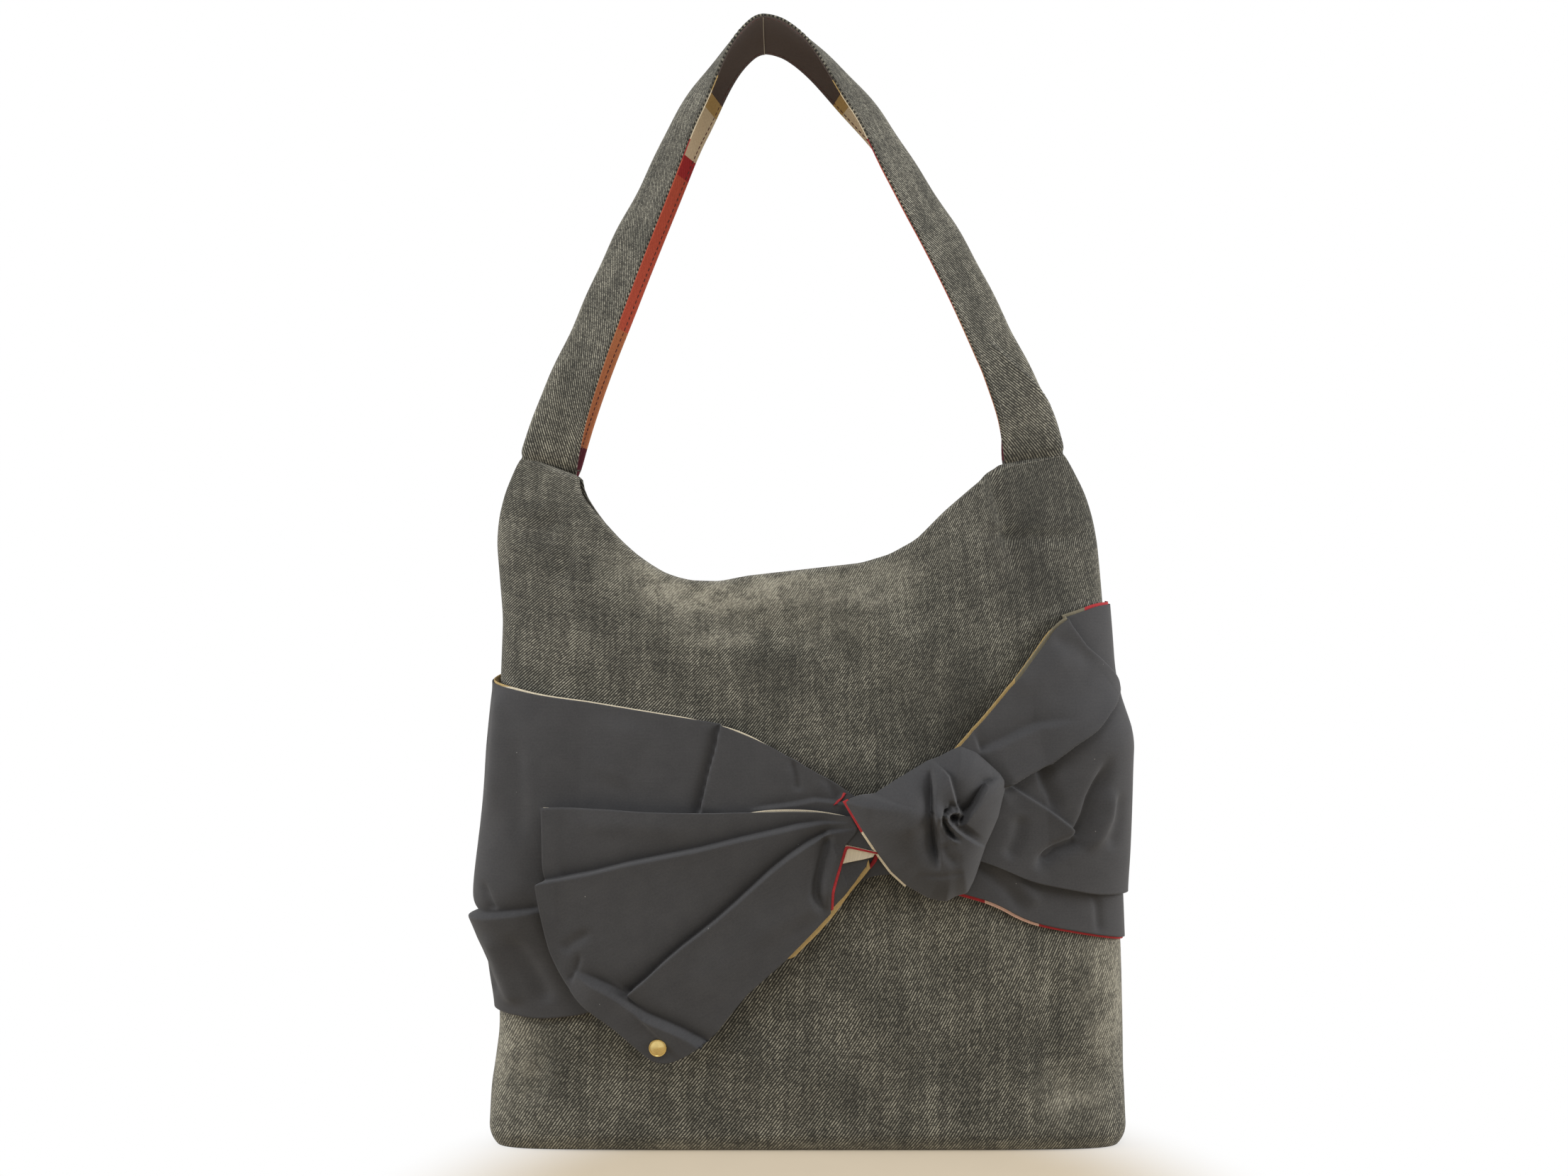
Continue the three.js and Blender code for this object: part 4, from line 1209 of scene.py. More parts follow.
def make_strap():
    """Two denim legs with striped linings, joined at the top."""
    size = sizes()
    for name, side, shift in (("left", LEFT, 0.0), ("right", RIGHT, -8.0)):
        leg = StrapLeg(side)
        outward = (side, 0, 0.4)
        outer = lay_cloth(
            f"denim_strap_{name}", STRAP_GRID, strap_place(leg, 0.0), strap_weave(leg),
            size.denim, outward, strap_wear
        )
        paint(outer, MATERIALS["denim"])
        bend_with_strap(outer)
        declare(outer, [f"strap_{name}"])
        inset = size.denim / MM + 0.2
        inner = lay_cloth(
            f"lining_strap_{name}", STRAP_GRID, strap_place(leg, inset), strap_lining_weave(leg, shift),
            size.lining, outward
        )
        paint(inner, MATERIALS["strap_lining"])
        bend_with_strap(inner)
        node = f"strap_{name}_lining"
        declare(inner, [node])


# Stitches

STITCH_STEPS = 6
STITCH_FLATNESS = 0.7
STITCH_RISE = 0.05
SHOULDER_STITCH_DROP = 2.4
STRAP_THREAD = 0.7
LINING_THREAD = 0.75
TOP_THREAD = 0.6
SHOULDER_THREAD = 0.75
TOP_STITCHES = 26


def stitch_shape(stitch_length, width):
    """One stitch: a short rounded bar along x, as points in millimetres and faces."""
    deselect()
    bpy.ops.mesh.primitive_uv_sphere_add(segments=STITCH_STEPS, ring_count=4, radius=1)
    bar = bpy.context.object
    spots = np.array([corner.co for corner in bar.data.vertices])
    faces = [tuple(face.vertices) for face in bar.data.polygons]
    mesh = bar.data
    bpy.data.objects.remove(bar)
    bpy.data.meshes.remove(mesh)
    spots = spots[:, [2, 0, 1]] * np.array([stitch_length / 2, width / 2, width / 2])
    return spots, faces


def sew(name, rows, thread, width):
    """Copies one stitch along rows of (middle, way, outwards) places and joins the copies."""
    size = sizes()
    shape, faces = stitch_shape(size.stitch / MM, width)
    spots = []
    sides = []
    for centre, way, outwards in rows:
        third = np.cross(way, outwards)
        sides += [tuple(len(spots) * len(shape) + corner for corner in face) for face in faces]
        flat = centre + shape[:, :1] * way + shape[:, 1:2] * third
        spots.append(flat + shape[:, 2:] * outwards * STITCH_FLATNESS)
    mesh = bpy.data.meshes.new(name)
    mesh.from_pydata((np.concatenate(spots) * MM).tolist(), [], sides)
    piece = bpy.data.objects.new(name, mesh)
    bpy.context.scene.collection.objects.link(piece)
    activate(piece)
    bpy.ops.object.mode_set(mode="EDIT")
    bpy.ops.mesh.select_all(action="SELECT")
    bpy.ops.mesh.normals_make_consistent(inside=False)
    bpy.ops.object.mode_set(mode="OBJECT")
    bpy.ops.object.shade_smooth()
    paint(piece, MATERIALS[thread])
    return piece


def strap_rows(leg, inset, outside):
    """Stitch places along both edges of one strap leg."""
    size = sizes()
    pitch = (size.stitch + size.stitch_gap) / MM
    edge = 1 - size.stitch_inset / MM / leg.half_width
    rows = []
    for across in (-edge, edge):
        passed = np.arange(4.0, leg.length - 2, pitch)
        here = np.full(passed.shape, across)
        depth = np.full(passed.shape, inset)
        centre = leg.point(passed, here, depth)
        way = unit(leg.point(passed + 0.8, here, depth) - leg.point(passed - 0.8, here, depth))
        aside = unit(leg.point(passed, here, depth - 0.5) - leg.point(passed, here, depth + 0.5))
        aside *= 1 if outside else -1
        aside -= way * (aside * way).sum(axis=1, keepdims=True)
        rows += list(zip(centre, way, aside))
    return rows


def top_rows(leg, inset):
    """Places of the seam's thread, across the lining at the strap's top."""
    across = np.linspace(-0.95, 0.95, TOP_STITCHES)
    passed = np.full(across.shape, leg.length - 0.4)
    depth = np.full(across.shape, inset)
    centre = leg.point(passed, across, depth)
    way = unit(np.gradient(centre, axis=0))
    aside = leg.point(passed, across, depth + 0.5) - leg.point(passed, across, depth - 0.5)
    aside -= way * (aside * way).sum(axis=1, keepdims=True)
    return list(zip(centre, way, unit(aside)))


def shoulder_rows(side):
    """Stitch places along one shoulder seam, on both faces of the body."""
    size = sizes()
    pitch = (size.stitch + size.stitch_gap) / MM
    outer, inner, up = strap_seam(side)
    span = np.hypot(*(outer - inner))
    passed = np.arange(2.0, span - 2.5, pitch)
    rows = []
    for face in (FRONT, BACK):
        x, z = (inner + (outer - inner) * (passed / span)[:, None] - SHOULDER_STITCH_DROP * up).T
        share = np.clip((x - middle(z)) / half_width(z), -1, 1)
        spots = body_point(share, z, seam_dip(x, z, rim_height(x)) - STITCH_RISE, face)
        way = unit(np.gradient(spots, axis=0))
        aside = unit(np.array([0.0, face, 0.0]) - way * face * way[:, 1:2])
        rows += list(zip(spots, way, aside))
    return rows


def make_stitches():
    """Rows of stitches along the strap's edges and lining and along the shoulder seams."""
    size = sizes()
    inset = (size.denim + size.lining) / MM + 0.25
    for name, side in (("left", LEFT), ("right", RIGHT)):
        leg = StrapLeg(side)
        rows = strap_rows(leg, -STITCH_RISE, True)
        bend_with_strap(sew(f"stitches_strap_{name}", rows, "denim_thread", STRAP_THREAD))
        rows = strap_rows(leg, inset, False)
        bend_with_strap(sew(f"stitches_lining_{name}", rows, "lining_thread", LINING_THREAD))
        if side == LEFT:
            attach(sew("stitches_top", top_rows(leg, inset), "pale_thread", TOP_THREAD), "strap")
        rows = shoulder_rows(side)
        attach(sew(f"stitches_shoulder_{name}", rows, "denim_thread", SHOULDER_THREAD), "bag")


# Sash bands: edges as (path, height), and how far each band swells off the body near its seam

BAND_GRID = (190, 182)
BAND_LENGTH = 80
SASH_LIFT = 0.8
LOOP_LIFT = 4.6
LOOP_SEAM_LIFT = 2.6
UNDER_FACE = 0.8
LEFT_END = 45
RIGHT_END = 72
LEFT_TOP = (
    (-225, 268), (-186, 263), (-170, 260.5), (-152, 257), (-98.6, 249), (-50.4, 242),
    (-23.8, 230.6), (15.7, 208), (22.4, 203), (45, 190),
)
LEFT_BOTTOM = (
    (-230, 74), (-180, 76.6), (-149, 74.4), (-124.5, 77.6), (-60, 105), (0, 135), (32, 157), (45, 158),
)
RIGHT_TOP = ((72, 214), (85, 227), (117.8, 262), (149, 295), (168, 300), (182, 303), (215, 304))
RIGHT_BOTTOM = (
    (72, 150), (89, 145), (102, 141), (119, 131), (132.5, 127), (180, 117), (212, 113.6), (230, 113),
)
LOOP_TOP = ((72, 217), (85, 231), (117.8, 266), (149, 299), (168, 304.5), (182, 308), (215, 309))
LOOP_BOTTOM = ((72, 172), (98.9, 163), (120.5, 152.9), (156, 144.7), (205, 141.8), (230, 141))
LEFT_SWELL = (
    (60, 0), (80, 0.5), (106, 5.8), (123, 11.2), (136, 15), (150, 13.5), (187, 9.2), (224, 7.6),
    (250, 5.5), (270, 4),
)
RIGHT_SWELL = ((110, 0), (200, 0.6), (280, 0.3), (310, 0))
LOOP_SWELL = (
    (140, 0), (150, 1), (162, 2.5), (179, 4.2), (214, 7.5), (232, 9.8), (244, 7), (252, 3.5), (262, 1),
    (272, 0),
)


def swelling(path, z, side, swell):
    from_seam = (half_girth(z) - side * path) / BAND_LENGTH
    return soft_line(swell, z) * np.sin(np.pi * np.clip(from_seam, 0, 1))


def left_base(path, z):
    """How far the left band stands off the front without its folds."""
    gather = 3.6 * ease((path + 45) / 75)
    loose = ridge(path, z, [(-54, 270), (-62, 150)], 2.4, 34, (0.05, 0.4))
    return SASH_LIFT + gather + loose + swelling(path, z, LEFT, LEFT_SWELL)


LEFT_FOLDS = (
    (lap, ((-45, 250), (-47.5, 240), (-50, 228), (-54, 214), (-59, 193), (-61, 184)),
     2.6, 3.6, (26, 2.4), 0.5, (0.03, 0.2)),
    (lap, ((-140, 138.5), (-152, 136.5), (-168, 134), (-190, 132), (-205, 131), (-216, 131)),
     2.4, 4.8, (16, 6), 0.7, (0.12, 0.2)),
    (ridge, ((-172, 154), (-168, 144), (-166, 137)), -1.9, 2.2, (0.4, 0.1)),
    (ridge, ((-170, 262), (-169, 215), (-172, 176)), 2.2, 6, (0.15, 0.4)),
    (ridge, ((-190, 266), (-192, 230), (-189, 185)), -2.6, 6, (0.1, 0.35)),
    (ridge, ((-158, 240), (-156, 205), (-154, 170)), -1.6, 5, (0.3, 0.3)),
    (ridge, ((-170, 126), (-169, 100), (-166, 80)), 2.2, 5.5, (0.25, 0.15)),
    (ridge, ((-160, 126), (-152, 100), (-146, 82)), -2.0, 5, (0.25, 0.2)),
    (ridge, ((-190, 118), (-184, 100), (-178, 84)), -1.8, 5, (0.25, 0.2)),
    (ridge, ((-100, 246), (-104, 226), (-112, 206)), 1.2, 12),
    (ridge, ((-9, 224), (-6, 214), (-5, 203)), -1.7, 2.4, (0.3, 0.2)),
    (ridge, ((8, 214), (14, 206), (18, 200)), -1.8, 3, (0.3, 0.1)),
    (lap, ((22, 197), (15, 198.5), (4, 199.6), (-8, 197), (-25, 194.8), (-34, 193.5)),
     1.8, 1.8, (6, 4), 0.6, (0.1, 0.25)),
)


def left_lift(path, z):
    """The left band with its pressed pleat, its crease at the side and its gathers."""
    return folded(path, z, LEFT_FOLDS, left_base(path, z))


RIGHT_FOLDS = (
    (ridge, ((90, 168), (102, 156), (112, 146), (120, 134)), -1.2, 4, (0.1, 0.2)),
    (ridge, ((104, 166), (118, 150), (128, 138)), 1.4, 5, (0.1, 0.2)),
    (ridge, ((158, 152), (162, 138), (163, 120)), -1.2, 3, (0.1, 0.2)),
)


def right_lift(path, z):
    """The right band, which shows below the loop and past its top edge."""
    gather = 1.2 * ease((132 - path) / 50)
    return folded(path, z, RIGHT_FOLDS, SASH_LIFT + gather + swelling(path, z, RIGHT, RIGHT_SWELL))


LOOP_FOLDS = (
    (lap, ((102, 204), (112, 208.5), (120, 213.5), (130, 218.5), (140, 229), (150, 237), (160, 246.5),
           (173, 255.5), (188, 262)),
     4.2, 2.8, (20, 7), 0.6, (0.1, 0.28)),
    (lap, ((190, 258), (172, 272), (157, 285), (148, 297), (145, 304)),
     2.6, 2.4, (18, 8), 0.8, (0.34, 0.04)),
    (lap, ((146, 244.5), (135, 242.5), (125, 240.5), (115, 236), (105, 231), (93, 226)),
     1.4, 3.6, (12, 6), 1.3, (0.35, 0.05)),
    (ridge, ((129, 219), (131, 208), (134, 200), (135, 190)), -2.8, 3.0, (0.1, 0.3)),
    (lap, ((149, 177), (140, 185), (130, 194), (120, 200.5), (107, 210)),
     1.8, 1.2, (14, 8), 0.5, (0.1, 0.15)),
    (ridge, ((161, 226), (157, 210), (153, 200), (151, 190), (148, 181), (145, 176), (135, 171),
             (128, 166), (122, 158)),
     -5.4, 3.6, (0.25, 0.2)),
    (ridge, ((163, 206), (161, 190), (156, 178), (149, 169)), 2.0, 3.6),
    (ridge, ((168, 204), (168, 186), (163, 168)), -1.6, 4),
    (ridge, ((116, 192), (113, 178), (107, 165)), -1.6, 4),
    (ridge, ((110, 262), (126, 268), (146, 282)), 1.3, 8),
    (ridge, ((134, 292), (150, 284), (160, 272)), -1.4, 5),
)


def loop_lift(path, z):
    """The loop over the right band, with its folded flap, valleys and creases."""
    from_seam = half_girth(z) - path
    gather = 0.6 * ease((132 - path) / 50)
    seam = LOOP_SEAM_LIFT + (LOOP_LIFT - LOOP_SEAM_LIFT) * ease(from_seam / 60)
    return folded(path, z, LOOP_FOLDS, seam + gather + swelling(path, z, RIGHT, LOOP_SWELL))


NO_PEEK = ((0, 0), (1, 0))


def band_place(side, end, top, bottom, lift, raised, peek_top=NO_PEEK, peek_bottom=NO_PEEK):
    """A band from its side seam to its end under the knot, raised off its own lift."""

    def place(u, v):
        rough = side * half_girth(190.0)
        path = rough + (end - rough) * u
        low = soft_line(bottom, path) - soft_line(peek_bottom, path)
        high = soft_line(top, path) + soft_line(peek_top, path)
        z = low + (high - low) * v
        seam = side * (half_girth(z) - 0.3)
        path = seam + (end - seam) * u
        return front_point(path, z, lift(path, z) + raised)

    return place


def plain_weave(u, v, spots):
    return spots[:, [0, 2]].copy()


def striped_weave(stripes):
    """Threads of a lining whose stripes follow a function of its places."""

    def weave(u, v, spots):
        return np.stack([stripes(spots[:, 0], spots[:, 2]), spots[:, 0]], axis=-1)

    return weave


def left_stripes(x, z):
    return 22.8 + 0.6 * (z - 261)


def right_stripes(x, z):
    return np.where(z > 230, 45, np.interp(x, (76, 99, 130, 200), (110, 129, 160, 189)))


def loop_stripes(x, z):
    return np.interp(x, (60, 85, 117, 160, 190), (23, 30, 72.2, 106.4, 120))


LEFT_PEEK = (
    (-230, 0.9), (-165, 0.9), (-150, 0.5), (-66, 0.4), (-58, -0.7), (-50, -0.7), (-43, 0.8), (-29, 0.7),
    (-21, -0.7), (45, -0.7),
)
HIDDEN = ((0, -0.7), (1, -0.7))
RIGHT_PEEK = ((72, 1.1), (230, 1.1))
RIGHT_LOW_PEEK = ((72, 1.7), (110, 1.7), (135, 1.2), (230, 1.2))
LOOP_PEEK = ((72, 1.7), (230, 1.4))
BANDS = (
    (
        "left", LEFT, LEFT_END, LEFT_TOP, LEFT_BOTTOM, left_lift, "lining",
        "sash_left_band", "sash_left_lining", LEFT_FLAT, (LEFT_PEEK, HIDDEN), left_stripes,
    ),
    (
        "right", RIGHT, RIGHT_END, RIGHT_TOP, RIGHT_BOTTOM, right_lift, "red_lining",
        "sash_right_band", "sash_right_lining", RIGHT_FLAT, (RIGHT_PEEK, RIGHT_LOW_PEEK), right_stripes,
    ),
    (
        "loop", RIGHT, RIGHT_END, LOOP_TOP, LOOP_BOTTOM, loop_lift, "lining",
        "sash_right_loop", "sash_loop_lining", LOOP_FLAT, (LOOP_PEEK, HIDDEN), loop_stripes,
    ),
)


def make_bands():
    """The left band, the right band behind and the right loop, each with its lining."""
    size = sizes()
    for name, side, end, top, bottom, lift, slot, node, lining_node, flat, peeks, stripes in BANDS:
        under = UNDER_FACE + size.cotton / MM
        place = band_place(side, end, top, bottom, lift, under)
        face = lay_cotton(f"cotton_{name}", BAND_GRID, place, plain_weave)
        declare(face, [node], "bag")
        place = band_place(side, end, top, bottom, lift, size.sash_lining / MM, *peeks)
        backing = lay_backing(f"backing_{name}", BAND_GRID, place, striped_weave(stripes))
        declare(backing, [lining_node], "bag")


# Knot

KNOT_GRID = (220, 220)
KNOT_CENTRE = (76, 194)
KNOT_OUTLINE = (
    (20.1, 200.1), (30.3, 203.9), (36.4, 203.4), (40.6, 206.3), (50.9, 212.2), (61.2, 217.7),
    (67.4, 221.3), (73.5, 223.2), (81.7, 227.4), (86.9, 229.6), (95, 226.4), (102.2, 220.7),
    (109, 214.8), (111.6, 210.8), (110.8, 204.3), (107, 190), (103, 181.3), (99.4, 174), (97.4, 168.4),
    (94, 159.3), (92, 154.2), (88.4, 147.4), (81.7, 145.6), (76.1, 142.5), (67.4, 144.3), (61.3, 147.6),
    (54, 151.8), (45.7, 159.7), (38.5, 169.8), (30.3, 182.5),
)
KNOT_TRIM_GRID = (90, 6)
KNOT_RISE = 20
KNOT_CROWN = 4.5
KNOT_RIM_LIFT = 5.5
KNOT_FLAP_LIFT = 13
KNOT_SLANT = (0.8, 0.6)


def knot_rim_table():
    """The outline's reach for each turn round the knot's middle, with its corners eased a little."""
    outline = np.array(KNOT_OUTLINE, float)
    closed = np.concatenate([outline, outline[:1]])
    dense = []
    for start, end in zip(closed[:-1], closed[1:]):
        dense.append(start + (end - start) * np.linspace(0, 1, 40, endpoint=False)[:, None])
    dense = np.concatenate(dense) - np.array(KNOT_CENTRE)
    turns = np.arctan2(dense[:, 1], dense[:, 0])
    reaches = np.hypot(dense[:, 0], dense[:, 1])
    order = np.argsort(turns)
    steps = np.linspace(-np.pi, np.pi, 721)
    table = np.interp(steps, turns[order], reaches[order], period=2 * np.pi)
    weights = np.hanning(13)
    padded = np.concatenate([table[-7:-1], table, table[1:7]])
    return steps, np.convolve(padded, weights / weights.sum(), mode="valid")


KNOT_TURNS, KNOT_REACHES = knot_rim_table()


# Wrapped layers of the knot: a deep valley, lapping edges, a pocket and a curl between them

KNOT_FOLDS = (
    (lap, ((68.6, 222), (69.2, 216.5), (68.6, 208), (67.6, 198.5), (67.9, 192), (69.2, 182.4),
           (70.5, 172.8), (71, 162)),
     2.0, 11.5, (9, 4.4), 0.8, (0.14, 0.25)),
    (ridge, ((54, 214), (52, 200), (54, 180)), 1.4, 9),
    (lap, ((86, 192.5), (83.3, 195.9), (81.7, 198.5), (80.1, 203.6), (78.5, 210), (77.5, 214.5),
           (75, 217.8), (70.5, 221.4), (64, 224)),
     3.0, 4.4, (7, 9), 0.5, (0.06, 0.12)),
    (lap, ((110, 213), (103, 211.4), (98.2, 209.6), (95, 205), (90, 197.2), (86.6, 192.7), (83, 188)),
     2.6, 9.5, (13, 4.8), 0.6, (0.3, 0.08)),
    (lap, ((99, 173.5), (92.4, 177.9), (85.9, 182.4), (80.1, 186.3), (77, 188.6)),
     2.4, 3.2, (9, 6), 0.5, (0.02, 0.25)),
    (ridge, ((83, 195.9), (78.9, 195.6), (76.3, 194.9), (75, 193.3), (75.3, 190.8), (76.9, 188.8),
             (80.1, 186.3), (85.9, 182.4)),
     3.2, 1.15, (0.1, 0.4)),
    (ridge, ((78, 198.6), (74.4, 196.6), (73, 194), (73.6, 190), (75.6, 185.6), (78.9, 182.1),
             (83.5, 179.6)),
     -7.0, 1.3, (0.25, 0.4)),
    (ridge, ((71.6, 194.5), (72.2, 190), (74.6, 185.2), (78.2, 181), (83.3, 178.4)), 1.6, 1.3),
    (lap, ((80.6, 187.5), (81.5, 191.4), (82, 196.5)), -0.6, -2.0, (3, 2), 0.4, (0.2, 0.2)),
    (dimple, (79, 192.2), 8.0, 2.1),
    (ridge, ((75, 199.5), (79, 199), (82, 197.5)), -2.4, 2.0, (0.3, 0.2)),
    (ridge, ((72, 180), (76, 172), (83, 165)), -2.2, 3.4, (0.25, 0.4)),
    (ridge, ((58, 160.5), (72, 160), (88, 162.5)), -0.9, 1.6),
    (ridge, ((30, 196), (46, 194), (58, 188)), -1.2, 9, (0.2, 0.4)),
)


def knot_spot(right, up):
    """A place on the knot by a square's coordinates: x, height, share of the way to its rim and turn."""
    across = right * np.sqrt(1 - up * up / 2)
    along = up * np.sqrt(1 - right * right / 2)
    share = np.clip(np.hypot(across, along), 0, 1)
    turn = np.arctan2(along, across)
    reach = np.interp(turn, KNOT_TURNS, KNOT_REACHES)
    return (
        KNOT_CENTRE[0] + share * reach * np.cos(turn),
        KNOT_CENTRE[1] + share * reach * np.sin(turn),
        share,
        turn,
    )


def knot_rim_lift(turn):
    """The rim stands off the front on its left, where the end of the cloth is free."""
    free = np.exp(-(((np.abs(turn) - np.pi) / 0.75) ** 2))
    return KNOT_RIM_LIFT + (KNOT_FLAP_LIFT - KNOT_RIM_LIFT) * free


def knot_place(u, v):
    x, z, share, turn = knot_spot(2 * u - 1, 2 * v - 1)
    crown = 1 - share**KNOT_CROWN
    lift = knot_rim_lift(turn) + (KNOT_RISE + folded(x, z, KNOT_FOLDS)) * crown
    return forward_point(x, z, lift)


def slanted_weave(slant):
    """Threads that lie at a slant to the front."""
    ahead, aside = slant

    def weave(u, v, spots):
        x, z = spots[:, 0], spots[:, 2]
        return np.stack([x * ahead + z * aside, z * ahead - x * aside], axis=-1)

    return weave


def guide(points, share):
    """Places along a bent line by the share of its length, with its corners eased."""
    line = np.array(points, float)
    lengths = np.concatenate([[0], np.cumsum(np.hypot(*np.diff(line, axis=0).T))])
    passed = share * lengths[-1]
    soft = 0.03 * lengths[-1]
    spots = 0
    for shift in (-soft, -soft / 2, 0, soft / 2, soft):
        held = np.clip(passed + shift, 0, lengths[-1])
        spots = spots + np.stack([np.interp(held, lengths, line[:, k]) for k in (0, 1)], axis=-1) / 5
    keep = np.clip(np.minimum(share, 1 - share) / 0.03, 0, 1)[..., None]
    exact = np.stack([np.interp(passed, lengths, line[:, k]) for k in (0, 1)], axis=-1)
    return exact + (spots - exact) * keep


def strip_place(low, high, lift, lay=front_point):
    """A small piece between two guide lines, lifted off the front."""

    def place(u, v):
        start = guide(low, u)
        x, z = (start + (guide(high, u) - start) * v[:, None]).T
        return lay(x, z, lift(x, z, v))

    return place


def run_weave(start, end, run):
    """Stripes along a narrow edge, from one place in the lining's repeat to another, over its run."""

    def weave(u, v, spots):
        return np.stack([start + (end - start) * u, run * u], axis=-1)

    return weave


KNOT_TRIM_IN = ((21.8, 201.1), (32, 183.5), (40.2, 170.9), (47.2, 161), (55.2, 153.4))
KNOT_TRIM_OUT = ((19.1, 199.5), (29.2, 181.9), (37.5, 169), (44.8, 158.8), (53.4, 150.8))


def knot_trim_lift(x, z, v):
    turn = np.arctan2(z - KNOT_CENTRE[1], x - KNOT_CENTRE[0])
    return knot_rim_lift(turn) - 0.5 + 1.5 * (1 - v)


def make_knot():
    """The wrapped knot and the edge of lining that shows on its left."""
    knot = lay_cotton("cotton_knot", KNOT_GRID, knot_place, slanted_weave(KNOT_SLANT))
    place = strip_place(KNOT_TRIM_IN, KNOT_TRIM_OUT, knot_trim_lift, forward_point)
    trim = lay_trim("backing_knot", KNOT_TRIM_GRID, place, run_weave(179.5, 211, 58), "bag")
    declare(knot, ["sash_knot"], "bag")


# Tail: guide lines from the root beside the knot to the free end, as (x, height)

TAIL_GRID = (220, 210)
TAIL_EDGE_GRID = (80, 4)
TAIL_FOLD_GRID = (40, 20)
TAIL_INNER_GRID = (60, 60)
TAIL_ROOT_GRID = (60, 30)
BAND_EDGE_GRID = (30, 4)
TAIL_LOW = ((11, 136.8), (-14.4, 110), (-34.8, 91.1), (-42.2, 81.6), (-50, 71), (-57.2, 64.7))
TAIL_FOLD_B = (
    (26.5, 184.1), (10.7, 182.6), (-0.7, 176.4), (-10.2, 169.4), (-19.7, 161.3), (-29.4, 152),
    (-39.2, 142.7), (-48.8, 134), (-58.4, 126), (-67.9, 118.4), (-77.5, 109.8), (-87, 100.4),
    (-98.5, 90.8), (-111.5, 80.6),
)
TAIL_FOLD_A = (
    (24.2, 188.1), (18.5, 187.5), (7.1, 187.7), (-5.3, 185.8), (-19.5, 182.2), (-38.5, 177.7),
    (-57.4, 172.8), (-76.3, 168.8), (-95.2, 164.7), (-114.4, 159.5), (-126.5, 157), (-138.4, 154.4),
)
TAIL_FOLD_TIP = (
    (-47.8, 59.8), (-58.4, 65.8), (-68.5, 71.8), (-77.5, 76.4), (-86.8, 81), (-98.4, 90.4),
    (-105.8, 95.3), (-115.2, 100.1), (-121.7, 103.9), (-127, 106),
)
TAIL_TOP = (
    (23.2, 190.6), (13.8, 191.8), (4.3, 193.2), (-10, 193.4), (-29, 193), (-56.6, 192.8), (-85, 193.4),
    (-104, 194.7), (-126, 195.5), (-138, 195.4),
)
TAIL_END = (
    (-57.2, 64.7), (-63.7, 59.3), (-70.8, 55.6), (-77, 53.3), (-82.5, 54.8), (-86.8, 59.3), (-92, 63.7),
    (-98.4, 70.2), (-107.6, 77.9), (-115.4, 83.2), (-126, 94.2), (-131.6, 102.4), (-135.6, 112.6),
    (-137, 121.5), (-137.6, 133.5), (-138, 145.6), (-138.4, 154.4), (-138, 160), (-137.7, 175),
    (-138, 195.4),
)
TAIL_ROOT = (
    (11, 136.8), (11.2, 149.8), (14, 159.8), (17, 168.6), (18.9, 175), (23.1, 179.4), (26.5, 184.1),
    (24.2, 188.1), (23.2, 190.6),
)
TAIL_LIFT = 7.4
TAIL_ROOT_LIFT = 4.8
TAIL_FACE_LIFT = 2.2
TAIL_SLANT = (0.9, 0.44)


def guide_share(points, spot):
    """The share of a bent line's length at the place nearest to a spot."""
    _, share = along_line(np.array([spot[0]]), np.array([spot[1]]), points)
    return float(share[0])


TAIL_SHARE_B = guide_share(TAIL_END, TAIL_FOLD_B[-1])
TAIL_SHARE_A = guide_share(TAIL_END, TAIL_FOLD_A[-1])


def tail_rows(v):
    """Rows of the tail's grid, close together along its two long folds."""
    fine = np.linspace(0, 1, 2001)
    dense = np.ones(fine.shape)
    for fold in (TAIL_SHARE_B, TAIL_SHARE_A):
        dense += 5 * np.exp(-(((fine - fold) / 0.018) ** 2))
    passed = np.concatenate([[0], np.cumsum((dense[1:] + dense[:-1]) / 2)])
    return np.interp(v, passed / passed[-1], fine)


def between_guides(u, v):
    stops = (0.0, TAIL_SHARE_B, TAIL_SHARE_A, 1.0)
    lines = [guide(line, u) for line in (TAIL_LOW, TAIL_FOLD_B, TAIL_FOLD_A, TAIL_TOP)]
    spots = lines[0]
    for low, high, start, end in zip(stops[:-1], stops[1:], lines[:-1], lines[1:]):
        share = np.clip((v - low) / (high - low), 0, 1)[:, None]
        spots = np.where(v[:, None] >= low, start + (end - start) * share, spots)
    return spots


def tail_spot(u, v):
    """A place on the tail: between its guide lines, bent to its root and its free end."""
    first = between_guides(np.zeros(u.shape), v)
    last = between_guides(np.ones(u.shape), v)
    root_share = np.interp(v, (0, TAIL_SHARE_B, TAIL_SHARE_A, 1), (0, 0.873, 0.954, 1))
    spots = between_guides(u, v)
    spots = spots + (guide(TAIL_END, v) - last) * (u**3)[:, None]
    return spots + (guide(TAIL_ROOT, root_share) - first) * ((1 - u) ** 3)[:, None]


